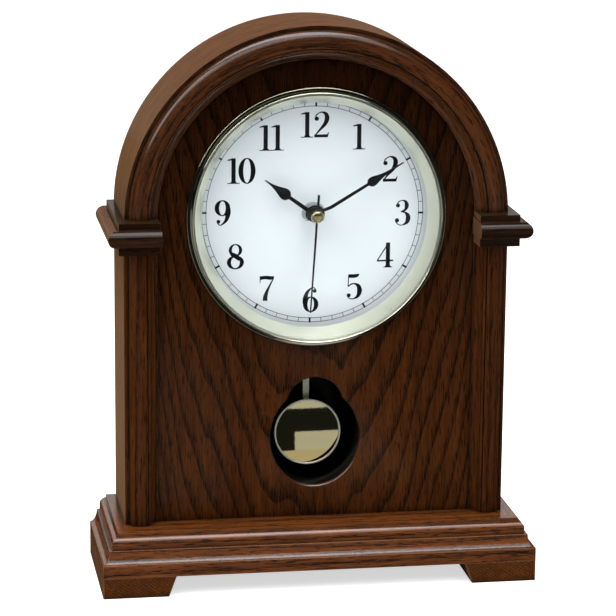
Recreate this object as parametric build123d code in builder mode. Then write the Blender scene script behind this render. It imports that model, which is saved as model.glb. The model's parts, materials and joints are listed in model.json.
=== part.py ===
from build123d import *
import math
import os

# Arched table clock: moulded wooden case, quartz movement, pendulum and hinged back door.
# Millimetres, +Z up, the dial faces -Y, and the origin is the middle of the footprint.

# Overall sizes
total_height = 300.0
base_width = 234.4
base_depth = 81.6
base_side_reach = 14.45
case_depth = 62.2

# Feet and base mouldings, from the table up
foot_height = 11.1
foot_width = 35.0
foot_slant = 4.1
plinth_face_height = 7.2
cove_height = 6.9
cove_inset = 3.8
ovolo_step = 1.6
ovolo_upright = 2.9
ovolo_radius = 3.5
top_fillet_height = 1.7

# Boards of the case
side_thickness = 12.0
panel_thickness = 14.0
joint_gap = 0.1

# Moulding of the pilasters and the arch, from its outer edge in
moulding_width = 17.75
moulding_depth = 8.4
fillet_width = 2.3
fillet_depth = 3.8
quirk_depth = 0.8
roll_width = 9.2
roll_round = 5.2
bead_radius = 0.8
bead_setback = 1.6
edge_width = 1.0
edge_depth = 1.2

# Imposts where the arch springs from the pilasters
impost_rise = 2.35
impost_upper = 3.2
impost_torus = 9.2
impost_lower = 4.5
impost_side_reach = 3.95
impost_front_reach = 7.2
torus_reach = 5.9
torus_overrun = 0.5

# Window for the pendulum: a tall oval with a round head
window_half_width = 24.3
window_half_height = 26.8
window_centre = 77.1
window_head_radius = 15.3
window_head_centre = 94.9
window_round = 1.4

# Dial, bezel and glass
dial_rise = 0.4
dial_hole_radius = 66.0
dial_overlap = 3.0
dial_thickness = 1.0
bezel_flange = 3.5
bezel_flange_edge = 0.9
bezel_ledge = 0.6
bezel_crest_radius = 66.9
bezel_crest_height = 5.2
bezel_bulge = 0.3
bezel_round = 0.25
bezel_lip_radius = 60.6
bezel_lip_depth = 6.0
bezel_wall = 1.2
glass_setback = 0.6
glass_thickness = 1.8
glass_dome = 3.0
glass_clearance = 0.05

# Movement housing
movement_size = 56.0
movement_depth = 14.5
movement_wall = 1.5
shelf_thickness = 0.9
battery_radius = 7.0
battery_length = 50.8
battery_nub_radius = 2.7
battery_nub = 1.2
battery_clearance = 0.1
contact_thickness = 1.0
contact_height = 8.0

# Hand stack, from the dial forward
bush_radius = 4.0
bush_length = 4.0
washer_radius = 6.0
washer_thickness = 0.5
nut_flats = 11.0
nut_thickness = 2.0
hour_pipe_radius = 2.5
minute_pipe_radius = 1.75
second_arbor_radius = 0.75
running_clearance = 0.05
press_clearance = 0.02
hour_hand_rise = 7.1
minute_hand_rise = 11.1
second_hand_rise = 14.9
hand_thickness = 0.5
hub_thickness = 1.0
cap_radius = 3.5
cap_length = 2.6
cap_round = 1.6

# Hands: clock angle at rest, blade length, place and width of the leaf, stem widths
hour_angle = 305.8
minute_angle = 58.9
second_angle = 183.6
hour_length = 33.0
hour_leaf = 19.8
hour_leaf_width = 6.2
hour_stem = 2.4
hour_hub_radius = 5.0
minute_length = 54.6
minute_leaf = 35.0
minute_leaf_width = 5.1
minute_stem = 1.9
minute_hub_radius = 4.6
second_length = 51.5
second_tail = 12.3
second_stem = 1.2
second_hub_radius = 3.9
tip_width = 0.7
neck_share = 0.8
needle_swell = 0.2
hour_waist = 0.42
minute_waist = 0.12

# Wheel train: teeth, axes and tooth shape
cannon_teeth = 12
motion_teeth = 36
motion_pinion_teeth = 10
hour_teeth = 40
minute_teeth = 60
third_pinion_teeth = 8
third_teeth = 64
second_pinion_teeth = 8
motion_distance = 12.0
motion_direction = 30.0
third_distance = 12.24
third_direction = 150.0
arbor_radius = 0.6
tooth_tip_height = 0.7
tooth_root_depth = 1.15
tooth_root_share = 0.27
tooth_tip_share = 0.09
wheel_thickness = 1.0
pinion_thickness = 1.4
pivot_depth = 1.0
hour_wheel_setback = 0.5
layer_pitch = 2.2
pipe_overrun = 0.4

# Setting knob, circuit board and motor coil
knob_radius = 6.0
knob_length = 4.5
knob_gap = 0.3
knob_flutes = 16
flute_radius = 0.6
board_thickness = 1.0
board_width = 24.0
board_height = 7.0
coil_radius = 4.0
coil_flange = 1.2
coil_length = 22.0
coil_offset = 2.0
inner_margin = 1.0

# Pendulum and its drive
drive_width = 40.0
drive_height = 31.0
drive_depth = 11.0
drive_setback = 2.0
drive_coil_radius = 6.0
drive_coil_bore = 2.0
drive_coil_length = 4.0
pivot_drop = 9.7
pivot_radius = 1.0
pivot_head_radius = 2.0
pivot_head = 0.8
hanger_hub_radius = 3.0
hanger_hub_length = 5.0
hanger_gap = 0.4
hanger_width = 8.0
hanger_length = 22.0
hanger_thickness = 1.6
hanger_arm_setback = 0.9
magnet_radius = 4.0
magnet_thickness = 0.8
magnet_drop = 13.0
stud_drop = 18.5
stud_radius = 1.0
stud_length = 2.0
rod_width = 3.3
rod_thickness = 0.8
rod_top = 3.0
rod_groove_width = 0.5
rod_groove_depth = 0.25
rod_past_centre = 16.0
bob_radius = 18.5
bob_centre = 73.3
bob_depth = 6.5
bob_rim = 1.1
bob_wall = 0.8
bob_dome = 0.6
bob_groove = 0.35

# Back board, door, hinges and catch
back_recess = 3.6
back_thickness = 5.0
door_width = 120.0
door_sill = 72.0
door_head = 40.75
door_gap = 0.8
finger_radius = 8.0
finger_inset = 16.0
hinge_inset = 25.0
hinge_height = 21.0
leaf_width = 10.0
leaf_thickness = 0.8
knuckle_radius = 1.6
knuckle_gap = 0.1
knuckle_side_gap = 0.3
hinge_pin_radius = 0.7
catch_height = 14.0
catch_drop = 40.0
catch_depth = 7.0
catch_reach = 9.0
catch_seat = 11.0
catch_plate_thickness = 0.8
catch_plate_margin = 1.0

# Levels and places that follow from the sizes above
face_top = foot_height + plinth_face_height
cove_top = face_top + cove_height
ovolo_foot = cove_top + ovolo_upright
ovolo_top = ovolo_foot + ovolo_radius
base_top = ovolo_top + top_fillet_height
arch_radius = base_width / 2 - base_side_reach
arch_centre = total_height - arch_radius
inner_half = arch_radius - side_thickness
case_back = base_depth / 2
frame_front = case_back - case_depth
panel_front = frame_front + moulding_depth
panel_back = panel_front + panel_thickness
dial_centre = arch_centre + dial_rise
dial_back = panel_back + dial_thickness
impost_top = arch_centre + impost_rise
torus_top = impost_top - impost_upper
torus_bottom = torus_top - impost_torus
impost_bottom = torus_bottom - impost_lower
movement_inside = dial_back + movement_wall
movement_rim = dial_back + movement_depth
movement_back = movement_rim + movement_wall
movement_bottom = dial_centre - movement_size / 2
pocket_half = movement_size / 2 - movement_wall
battery_centre = dial_centre - pocket_half + battery_radius + battery_clearance
shelf_bottom = battery_centre + battery_radius + battery_clearance
shelf_top = shelf_bottom + shelf_thickness
drive_front = dial_back + drive_setback
drive_back = drive_front + drive_depth
drive_bottom = movement_bottom - drive_height
pivot_centre = movement_bottom - pivot_drop
hanger_front = drive_back + hanger_gap + hanger_arm_setback
hanger_back = hanger_front + hanger_thickness
back_face = case_back - back_recess
board_front = back_face - back_thickness
door_bottom = base_top + door_sill
door_top = arch_centre + door_head
hinge_x = -(door_width + door_gap) / 2
hinge_y = back_face + knuckle_radius + knuckle_gap
hinge_heights = {"lower": door_bottom + hinge_inset, "upper": door_top - hinge_inset}
backward = (0, 1, 0)
dial_axis = Axis((0, 0, dial_centre), (0, 1, 0))


def upright(depth, x=0.0, z=0.0):
    """Plane that faces the viewer at a given depth, with its origin at x and z."""
    return Plane(origin=(x, depth, z), x_dir=(1, 0, 0), z_dir=(0, -1, 0))


def disc(depth, radius, x=0.0, z=dial_centre):
    """Round outline that faces the viewer."""
    with BuildSketch(upright(depth, x, z)) as outline:
        Circle(radius)
    return outline.sketch


def upright_rectangle(depth, left, right, bottom, top):
    """Rectangle that faces the viewer."""
    with BuildSketch(upright(depth, (left + right) / 2, (bottom + top) / 2)) as outline:
        Rectangle(right - left, top - bottom)
    return outline.sketch


def plan_rectangle(height, left, right, front, back):
    """Rectangle that lies flat at a given height."""
    corner = Plane.XY.offset(height).shift_origin(((left + right) / 2, (front + back) / 2, height))
    with BuildSketch(corner) as outline:
        Rectangle(right - left, back - front)
    return outline.sketch


def arch_outline(depth, half_width, bottom):
    """Upright board with a half-round top about the arch's centre."""
    with BuildSketch(upright(depth)) as outline:
        with Locations((0, (bottom + arch_centre) / 2)):
            Rectangle(2 * half_width, arch_centre - bottom)
        with Locations((0, arch_centre)):
            Circle(half_width)
    return outline.sketch


# Feet: full-depth rails with a slanted inner face
with BuildPart() as right_foot:
    foot_outer = base_width / 2
    foot_inner = foot_outer - foot_width
    with BuildSketch(Plane.XZ):
        with BuildLine():
            Polyline(
                (foot_outer, 0),
                (foot_outer, foot_height),
                (foot_inner - foot_slant, foot_height),
                (foot_inner, 0),
                close=True,
            )
        make_face()
    extrude(amount=base_depth / 2, both=True)

with BuildPart() as left_foot:
    mirror(right_foot.part, about=Plane.YZ)

# Base: two moulded boards, profiled on the front and both sides
front_run = Plane(origin=(0, -base_depth / 2, 0), x_dir=(0, 1, 0), z_dir=(1, 0, 0))
right_run = Plane(origin=(base_width / 2, 0, 0), x_dir=(-1, 0, 0), z_dir=(0, 1, 0))
left_run = Plane(origin=(-base_width / 2, 0, 0), x_dir=(1, 0, 0), z_dir=(0, -1, 0))


def plinth_section(plane, reach):
    """Upright face with a hollow above it; x runs in from the outer face."""
    with BuildSketch(plane) as section:
        with BuildLine():
            Line((0, foot_height), (0, face_top))
            EllipticalCenterArc((0, cove_top), cove_inset, cove_height, 270, arc_size=90)
            Polyline((cove_inset, cove_top), (reach, cove_top), (reach, foot_height), (0, foot_height))
        make_face()
    return section.sketch


def ovolo_section(plane, reach):
    """Upright, quarter round and top fillet; x runs in from the outer face."""
    foot_inset = cove_inset + ovolo_step
    top_inset = foot_inset + ovolo_radius
    with BuildSketch(plane) as section:
        with BuildLine():
            Line((foot_inset, cove_top), (foot_inset, ovolo_foot))
            CenterArc((top_inset, ovolo_foot), ovolo_radius, 180, -90)
            Polyline(
                (top_inset, ovolo_top),
                (top_inset, base_top),
                (reach, base_top),
                (reach, cove_top),
                (foot_inset, cove_top),
            )
        make_face()
    return section.sketch


with BuildPart() as base_plinth:
    extrude(plinth_section(front_run, base_depth), amount=base_width / 2, both=True)
    for side_run in (right_run, left_run):
        side = plinth_section(side_run, base_width)
        extrude(side, amount=base_depth / 2, both=True, mode=Mode.INTERSECT)

with BuildPart() as base_top_board:
    extrude(ovolo_section(front_run, base_depth), amount=base_width / 2, both=True)
    for side_run in (right_run, left_run):
        side = ovolo_section(side_run, base_width)
        extrude(side, amount=base_depth / 2, both=True, mode=Mode.INTERSECT)

# Case: side boards, bent roof and front panel
with BuildPart() as right_side_board:
    extrude(
        plan_rectangle(base_top, inner_half, arch_radius, panel_front, case_back),
        amount=arch_centre - base_top,
    )

with BuildPart() as left_side_board:
    mirror(right_side_board.part, about=Plane.YZ)

with BuildPart() as arch_roof:
    with BuildSketch(upright(panel_front, z=arch_centre)) as half_ring:
        Circle(arch_radius)
        Circle(inner_half, mode=Mode.SUBTRACT)
        Rectangle(2 * arch_radius, arch_radius, align=(Align.CENTER, Align.MAX), mode=Mode.SUBTRACT)
    extrude(half_ring.sketch, amount=case_back - panel_front, dir=backward)


def window_outline(depth):
    """Tall oval joined to a round head."""
    with BuildSketch(upright(depth)) as outline:
        with Locations((0, window_centre)):
            Ellipse(window_half_width, window_half_height)
        with Locations((0, window_head_centre)):
            Circle(window_head_radius)
    return outline.sketch


with BuildPart() as front_panel:
    board = arch_outline(panel_front, inner_half - joint_gap, base_top)
    extrude(board, amount=panel_thickness, dir=backward)
    dial_hole = disc(panel_front, dial_hole_radius)
    extrude(dial_hole, amount=panel_thickness, dir=backward, mode=Mode.SUBTRACT)
    window = window_outline(panel_front)
    extrude(window, amount=panel_thickness, dir=backward, mode=Mode.SUBTRACT)
    front_edges = front_panel.faces().sort_by(Axis.Y)[0].edges()
    window_top = window_head_centre + window_head_radius + window_round
    window_edges = front_edges.filter_by_position(Axis.X, -window_half_width, window_half_width)
    fillet(window_edges.filter_by_position(Axis.Z, base_top + window_round, window_top), window_round)


# Pilasters and arch share one moulding
def moulding_section(height):
    """Fillet, quirk, roll, bead and hollow, in plan; x is the distance from the arch's axis."""
    inner = arch_radius - moulding_width
    fillet_face = panel_front - fillet_depth
    roll_start = arch_radius - fillet_width
    roll_end = roll_start - roll_width
    roll_foot = fillet_face - quirk_depth
    bead_foot = frame_front + bead_setback
    bead_end = roll_end - 2 * bead_radius
    edge_start = inner + edge_width
    edge_face = panel_front - edge_depth
    with BuildSketch(Plane.XY.offset(height)) as section:
        with BuildLine():
            Polyline(
                (inner, panel_front),
                (arch_radius, panel_front),
                (arch_radius, fillet_face),
                (roll_start, fillet_face),
                (roll_start, roll_foot),
            )
            round_end = roll_start - roll_round
            EllipticalCenterArc((round_end, roll_foot), roll_round, roll_foot - frame_front, 0, arc_size=-90)
            Polyline((round_end, frame_front), (roll_end, frame_front), (roll_end, bead_foot))
            ThreePointArc(
                (roll_end, bead_foot),
                (roll_end - bead_radius, bead_foot - bead_radius),
                (bead_end, bead_foot),
            )
            hollow_width = bead_end - edge_start
            EllipticalCenterArc((edge_start, bead_foot), hollow_width, edge_face - bead_foot, 0, arc_size=90)
            Polyline((edge_start, edge_face), (inner, edge_face), (inner, panel_front))
        make_face()
    return section.sketch


with BuildPart() as right_pilaster:
    extrude(moulding_section(base_top), amount=impost_bottom - base_top)

with BuildPart() as left_pilaster:
    mirror(right_pilaster.part, about=Plane.YZ)

with BuildPart() as arch_moulding:
    arch_axis = Axis((0, 0, arch_centre), (0, -1, 0))
    revolve(moulding_section(arch_centre), axis=arch_axis, revolution_arc=180)
    split(bisect_by=Plane.XY.offset(impost_top), keep=Keep.TOP)

# Imposts: two blocks with a half-round torus between, wrapped round the front corner
torus_side = arch_radius + impost_side_reach + torus_reach
torus_front = frame_front - impost_front_reach - torus_reach
impost_front_run = Plane(origin=(0, torus_front, 0), x_dir=(0, 1, 0), z_dir=(1, 0, 0))
impost_side_run = Plane(origin=(torus_side, 0, 0), x_dir=(-1, 0, 0), z_dir=(0, 1, 0))


def impost_section(plane, reach, overrun):
    """Block, torus and block; x runs in from the torus, which ends past the blocks by overrun."""
    half_torus = impost_torus / 2
    with BuildSketch(plane) as section:
        with BuildLine():
            Polyline(
                (torus_reach, impost_bottom), (torus_reach, torus_bottom), (half_torus, torus_bottom)
            )
            ThreePointArc(
                (half_torus, torus_bottom), (0, torus_bottom + half_torus), (half_torus, torus_top)
            )
            Polyline(
                (half_torus, torus_top),
                (torus_reach, torus_top),
                (torus_reach, impost_top),
                (reach, impost_top),
                (reach, torus_top),
                (reach + overrun, torus_top),
                (reach + overrun, torus_bottom),
                (reach, torus_bottom),
                (reach, impost_bottom),
                (torus_reach, impost_bottom),
            )
        make_face()
    return section.sketch


with BuildPart() as right_impost:
    side_reach = torus_side - (arch_radius - moulding_width)
    extrude(impost_section(impost_front_run, base_depth, torus_overrun), amount=base_width, both=True)
    side = impost_section(impost_side_run, side_reach, torus_overrun)
    extrude(side, amount=case_back, both=True, mode=Mode.INTERSECT)
    case_core = plan_rectangle(impost_bottom, 0, arch_radius, panel_front, base_depth)
    extrude(case_core, amount=impost_top - impost_bottom, mode=Mode.SUBTRACT)

with BuildPart() as left_impost:
    mirror(right_impost.part, about=Plane.YZ)

# Bezel, glass and dial
crest_depth = panel_front - bezel_crest_height
lip_depth = panel_front + bezel_lip_depth
cone_slope = (bezel_crest_radius - bezel_lip_radius) / (lip_depth - crest_depth)
cone_turn = math.atan(cone_slope)


def cone_radius(depth):
    """Radius of the bezel's inner cone at a depth."""
    return bezel_crest_radius - (depth - crest_depth) * cone_slope


with BuildPart() as bezel:
    flange_radius = dial_hole_radius + bezel_flange
    lip_back_radius = bezel_lip_radius + bezel_wall * math.cos(cone_turn)
    lip_back_depth = lip_depth + bezel_wall * math.sin(cone_turn)
    throat_radius = lip_back_radius + (lip_back_depth - panel_front) * cone_slope
    flange_depth = panel_front - bezel_flange_edge
    wall_foot = flange_radius - bezel_ledge
    wall_middle = ((wall_foot + bezel_crest_radius) / 2, (flange_depth + crest_depth) / 2)
    with BuildSketch(Plane.XY.offset(dial_centre)) as bezel_profile:
        with BuildLine():
            Polyline(
                (throat_radius, panel_front),
                (flange_radius, panel_front),
                (flange_radius, flange_depth),
                (wall_foot, flange_depth),
            )
            ThreePointArc(
                (wall_foot, flange_depth),
                (wall_middle[0] + bezel_bulge / 2, wall_middle[1] - bezel_bulge / 2),
                (bezel_crest_radius, crest_depth),
            )
            Polyline(
                (bezel_crest_radius, crest_depth),
                (bezel_lip_radius, lip_depth),
                (lip_back_radius, lip_back_depth),
                (throat_radius, panel_front),
            )
        make_face()
        crest_corner = bezel_profile.vertices().sort_by(Axis.Y)[0]
        rim_corner = bezel_profile.vertices().group_by(Axis.X)[-1].sort_by(Axis.Y)[0]
        fillet((crest_corner, rim_corner), bezel_round)
    revolve(axis=dial_axis)


def dome_point(rim_radius, rim_depth, share):
    """Point on the glass dome, as a share of the way from its middle to its rim."""
    sphere = (rim_radius**2 + glass_dome**2) / (2 * glass_dome)
    radius = rim_radius * share
    return (radius, rim_depth - glass_dome + sphere - math.sqrt(sphere**2 - radius**2))


with BuildPart() as dial_glass:
    glass_front = crest_depth + glass_setback
    glass_back = glass_front + glass_thickness
    front_rim = (cone_radius(glass_front) - glass_clearance, glass_front)
    back_rim = (cone_radius(glass_back) - glass_clearance, glass_back)
    with BuildSketch(Plane.XY.offset(dial_centre)):
        with BuildLine():
            ThreePointArc(dome_point(*front_rim, 0), dome_point(*front_rim, 0.5), front_rim)
            Line(front_rim, back_rim)
            ThreePointArc(back_rim, dome_point(*back_rim, 0.5), dome_point(*back_rim, 0))
            Line(dome_point(*back_rim, 0), dome_point(*front_rim, 0))
        make_face()
    revolve(axis=dial_axis)

with BuildPart() as dial_plate:
    extrude(disc(panel_back, dial_hole_radius + dial_overlap), amount=dial_thickness, dir=backward)
    bush_hole = disc(panel_back, bush_radius + running_clearance)
    extrude(bush_hole, amount=dial_thickness, dir=backward, mode=Mode.SUBTRACT)

with BuildPart() as dial_washer:
    washer_front = panel_back - washer_thickness
    extrude(disc(washer_front, washer_radius), amount=washer_thickness, dir=backward)
    bush_hole = disc(washer_front, bush_radius + running_clearance)
    extrude(bush_hole, amount=washer_thickness, dir=backward, mode=Mode.SUBTRACT)

with BuildPart() as centre_nut:
    nut_front = washer_front - nut_thickness
    with BuildSketch(upright(nut_front, z=dial_centre)):
        RegularPolygon(nut_flats / 2, 6, major_radius=False)
        Circle(bush_radius + running_clearance, mode=Mode.SUBTRACT)
    extrude(amount=nut_thickness, dir=backward)

# Movement housing: a tray with the threaded bush and a battery trough, and a rear cover
motion_x = motion_distance * math.cos(math.radians(motion_direction))
motion_z = dial_centre + motion_distance * math.sin(math.radians(motion_direction))
third_x = third_distance * math.cos(math.radians(third_direction))
third_z = dial_centre + third_distance * math.sin(math.radians(third_direction))
bearing_radius = arbor_radius + running_clearance
pivot_front = movement_inside - pivot_depth
half_movement = movement_size / 2

with BuildPart() as movement_case:
    square = upright_rectangle(
        dial_back, -half_movement, half_movement, movement_bottom, dial_centre + half_movement
    )
    extrude(square, amount=movement_depth, dir=backward)
    train_pocket = upright_rectangle(
        movement_inside, -pocket_half, pocket_half, shelf_top, dial_centre + pocket_half
    )
    battery_pocket = upright_rectangle(
        movement_inside, -pocket_half, pocket_half, dial_centre - pocket_half, shelf_bottom
    )
    for pocket in (train_pocket, battery_pocket):
        extrude(pocket, amount=movement_depth, dir=backward, mode=Mode.SUBTRACT)
    bush_front = panel_back - bush_length
    extrude(disc(bush_front, bush_radius), amount=dial_back - bush_front, dir=backward)
    pipe_hole = disc(bush_front, hour_pipe_radius + running_clearance)
    extrude(pipe_hole, amount=movement_inside - bush_front, dir=backward, mode=Mode.SUBTRACT)
    for arbor_x, arbor_z in ((motion_x, motion_z), (third_x, third_z)):
        pivot_hole = disc(pivot_front, bearing_radius, arbor_x, arbor_z)
        extrude(pivot_hole, amount=pivot_depth, dir=backward, mode=Mode.SUBTRACT)

with BuildPart() as movement_cover:
    cover_outline = upright_rectangle(
        movement_rim, -half_movement, half_movement, shelf_bottom, dial_centre + half_movement
    )
    extrude(cover_outline, amount=movement_wall, dir=backward)
    for arbor_x, arbor_z, hole_radius in (
        (0, dial_centre, second_arbor_radius + running_clearance),
        (third_x, third_z, bearing_radius),
    ):
        pivot_hole = disc(movement_rim, hole_radius, arbor_x, arbor_z)
        extrude(pivot_hole, amount=pivot_depth, dir=backward, mode=Mode.SUBTRACT)
    knob_hole = disc(movement_rim, bearing_radius, motion_x, motion_z)
    extrude(knob_hole, amount=movement_wall, dir=backward, mode=Mode.SUBTRACT)

# Battery with its nub, between two contact plates
with BuildPart() as battery:
    battery_axis_depth = movement_inside + battery_radius
    cell_left = -battery_length / 2
    cell_plane = Plane(
        origin=(cell_left, battery_axis_depth, battery_centre), x_dir=(0, 1, 0), z_dir=(1, 0, 0)
    )
    with BuildSketch(cell_plane):
        Circle(battery_radius)
    extrude(amount=battery_length - battery_nub)
    with BuildSketch(cell_plane):
        Circle(battery_nub_radius)
    extrude(amount=battery_length)

with BuildPart() as positive_contact:
    contact_bottom = battery_centre - contact_height / 2
    contact_plate = upright_rectangle(
        movement_inside,
        pocket_half - contact_thickness,
        pocket_half,
        contact_bottom,
        contact_bottom + contact_height,
    )
    extrude(contact_plate, amount=2 * battery_radius - contact_thickness, dir=backward)

with BuildPart() as negative_contact:
    mirror(positive_contact.part, about=Plane.YZ)


# Wheel train
def gear_module(distance, teeth, other_teeth):
    """Tooth module that lets two gears mesh at a given distance."""
    return 2 * distance / (teeth + other_teeth)


def gear(depth, teeth, module, phase, x=0.0, z=dial_centre):
    """Toothed outline with one tooth's middle at the phase angle."""
    pitch = 360 / teeth
    root = module * (teeth / 2 - tooth_root_depth)
    tip = module * (teeth / 2 + tooth_tip_height)
    corners = (
        (root, -tooth_root_share),
        (tip, -tooth_tip_share),
        (tip, tooth_tip_share),
        (root, tooth_root_share),
    )
    points = []
    for tooth in range(teeth):
        for radius, share in corners:
            angle = math.radians(phase + (tooth + share) * pitch)
            points.append((radius * math.cos(angle), radius * math.sin(angle)))
    with BuildSketch(upright(depth, x, z)) as outline:
        with BuildLine():
            Polyline(*points, close=True)
        make_face()
    return outline.sketch


motion_module = gear_module(motion_distance, cannon_teeth, motion_teeth)
hour_module = gear_module(motion_distance, motion_pinion_teeth, hour_teeth)
minute_module = gear_module(third_distance, minute_teeth, third_pinion_teeth)
third_module = gear_module(third_distance, third_teeth, second_pinion_teeth)
pinion_lead = (pinion_thickness - wheel_thickness) / 2
hour_layer = movement_inside + hour_wheel_setback
motion_layer = hour_layer + layer_pitch
minute_layer = motion_layer + layer_pitch
third_layer = minute_layer + layer_pitch
hour_hand_depth = panel_back - hour_hand_rise
minute_hand_depth = panel_back - minute_hand_rise
second_hand_depth = panel_back - second_hand_rise

with BuildPart() as hour_wheel:
    hour_gear = gear(hour_layer, hour_teeth, hour_module, motion_direction)
    extrude(hour_gear, amount=wheel_thickness, dir=backward)
    pipe_length = hour_layer + wheel_thickness - hour_hand_depth
    extrude(disc(hour_hand_depth, hour_pipe_radius), amount=pipe_length, dir=backward)
    pipe_bore = disc(hour_hand_depth, minute_pipe_radius + running_clearance)
    extrude(pipe_bore, amount=pipe_length, dir=backward, mode=Mode.SUBTRACT)

with BuildPart() as minute_arbor:
    minute_gear = gear(minute_layer, minute_teeth, minute_module, third_direction)
    extrude(minute_gear, amount=wheel_thickness, dir=backward)
    cannon = gear(motion_layer - pinion_lead, cannon_teeth, motion_module, motion_direction)
    extrude(cannon, amount=pinion_thickness, dir=backward)
    pipe_length = minute_layer + wheel_thickness + pipe_overrun - minute_hand_depth
    extrude(disc(minute_hand_depth, minute_pipe_radius), amount=pipe_length, dir=backward)
    pipe_bore = disc(minute_hand_depth, second_arbor_radius + running_clearance)
    extrude(pipe_bore, amount=pipe_length, dir=backward, mode=Mode.SUBTRACT)

with BuildPart() as second_arbor:
    arbor_length = movement_rim + pivot_depth - pipe_overrun - second_hand_depth
    extrude(disc(second_hand_depth, second_arbor_radius), amount=arbor_length, dir=backward)
    second_phase = third_direction + 180 / second_pinion_teeth
    second_pinion = gear(third_layer - pinion_lead, second_pinion_teeth, third_module, second_phase)
    extrude(second_pinion, amount=pinion_thickness, dir=backward)

with BuildPart() as motion_wheel:
    motion_phase = motion_direction + 180 + 180 / motion_teeth
    motion_gear = gear(motion_layer, motion_teeth, motion_module, motion_phase, motion_x, motion_z)
    extrude(motion_gear, amount=wheel_thickness, dir=backward)
    pinion_phase = motion_direction + 180 + 180 / motion_pinion_teeth
    motion_pinion = gear(
        hour_layer - pinion_lead, motion_pinion_teeth, hour_module, pinion_phase, motion_x, motion_z
    )
    extrude(motion_pinion, amount=motion_layer - hour_layer + pinion_lead, dir=backward)
    arbor_start = pivot_front + press_clearance
    arbor_end = movement_back + knob_gap + knob_length - press_clearance
    extrude(disc(arbor_start, arbor_radius, motion_x, motion_z), amount=arbor_end - arbor_start, dir=backward)

with BuildPart() as third_wheel:
    third_phase = third_direction + 180
    third_gear = gear(third_layer, third_teeth, third_module, third_phase, third_x, third_z)
    extrude(third_gear, amount=wheel_thickness, dir=backward)
    pinion_phase = third_direction + 180 + 180 / third_pinion_teeth
    third_pinion = gear(
        minute_layer - pinion_lead, third_pinion_teeth, minute_module, pinion_phase, third_x, third_z
    )
    extrude(third_pinion, amount=third_layer - minute_layer + pinion_lead, dir=backward)
    arbor_end = movement_rim + pivot_depth - press_clearance
    extrude(disc(arbor_start, arbor_radius, third_x, third_z), amount=arbor_end - arbor_start, dir=backward)

# Setting knob on the motion wheel's arbor, fluted for the thumb
with BuildPart() as setting_knob:
    knob_front = movement_back + knob_gap
    with BuildSketch(upright(knob_front, motion_x, motion_z)) as knob_outline:
        Circle(knob_radius)
        with PolarLocations(knob_radius, knob_flutes):
            Circle(flute_radius, mode=Mode.SUBTRACT)
        Circle(arbor_radius + press_clearance, mode=Mode.SUBTRACT)
    extrude(knob_outline.sketch, amount=knob_length, dir=backward)

# Circuit board and motor coil, both fixed to the rear cover
inner_top = dial_centre + pocket_half - inner_margin
with BuildPart() as circuit_board:
    board_outline = upright_rectangle(
        movement_rim - board_thickness,
        inner_margin - pocket_half,
        inner_margin - pocket_half + board_width,
        inner_top - board_height,
        inner_top,
    )
    extrude(board_outline, amount=board_thickness, dir=backward)

with BuildPart() as motor_coil:
    flange_half = coil_radius + coil_flange / 2
    coil_depth = movement_rim - flange_half
    coil_z = inner_top - flange_half
    coil_plane = Plane(origin=(coil_offset, coil_depth, coil_z), x_dir=(0, 1, 0), z_dir=(1, 0, 0))
    with BuildSketch(coil_plane):
        Circle(coil_radius)
    extrude(amount=coil_length)
    for flange_start in (0, coil_length - coil_flange):
        with BuildSketch(coil_plane.offset(flange_start)):
            Rectangle(2 * flange_half, 2 * flange_half)
        extrude(amount=coil_flange)


# Hands
def hand_plane(depth, clock_angle):
    """Plane at the dial's centre whose y points along a hand at a clock angle."""
    turn = math.radians(clock_angle)
    return Plane(origin=(0, depth, dial_centre), x_dir=(math.cos(turn), 0, -math.sin(turn)), z_dir=(0, -1, 0))


def spade_outline(depth, clock_angle, length, leaf, leaf_width, stem, waist):
    """Tapered stem, round-backed leaf and a hollow-sided needle."""
    half_leaf = leaf_width / 2
    half_tip = tip_width / 2
    needle = length - leaf
    neck = neck_share * stem / 2
    leaf_turn = math.degrees(math.acos(neck / half_leaf))
    leaf_back = leaf - half_leaf * math.sin(math.radians(leaf_turn))
    with BuildSketch(hand_plane(depth, clock_angle)) as outline:
        with BuildLine():
            Polyline((0, 0), (stem / 2, 0), (neck, leaf_back))
            CenterArc((0, leaf), half_leaf, -leaf_turn, leaf_turn)
            Bezier(
                (half_leaf, leaf),
                (half_leaf, leaf + needle * needle_swell),
                (half_tip, leaf + needle * waist),
                (half_tip, length),
            )
            Line((half_tip, length), (0, length))
            mirror(about=Plane.YZ)
        make_face()
    return outline.sketch


def hub_and_blade(depth, blade, hub_radius, bore_radius):
    """Hand: a hub bored for its pipe, with a thin blade in the middle of its thickness."""
    with BuildPart() as hand:
        extrude(disc(depth, hub_radius), amount=hub_thickness, dir=backward)
        extrude(blade, amount=hand_thickness, dir=backward)
        bore = disc(depth, bore_radius + press_clearance)
        extrude(bore, amount=hub_thickness, dir=backward, mode=Mode.SUBTRACT)
    return hand


blade_lead = (hub_thickness - hand_thickness) / 2
hour_blade = spade_outline(
    hour_hand_depth + blade_lead,
    hour_angle,
    hour_length,
    hour_leaf,
    hour_leaf_width,
    hour_stem,
    hour_waist,
)
minute_blade = spade_outline(
    minute_hand_depth + blade_lead,
    minute_angle,
    minute_length,
    minute_leaf,
    minute_leaf_width,
    minute_stem,
    minute_waist,
)
with BuildSketch(hand_plane(second_hand_depth + blade_lead, second_angle)) as second_blade:
    with BuildLine():
        Polyline(
            (-second_stem / 2, -second_tail),
            (second_stem / 2, -second_tail),
            (second_stem / 2, 0),
            (tip_width / 2, second_length),
            (-tip_width / 2, second_length),
            (-second_stem / 2, 0),
            close=True,
        )
    make_face()
hour_hand = hub_and_blade(hour_hand_depth, hour_blade, hour_hub_radius, hour_pipe_radius)
minute_hand = hub_and_blade(minute_hand_depth, minute_blade, minute_hub_radius, minute_pipe_radius)
second_hand = hub_and_blade(second_hand_depth, second_blade.sketch, second_hub_radius, second_arbor_radius)

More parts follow.
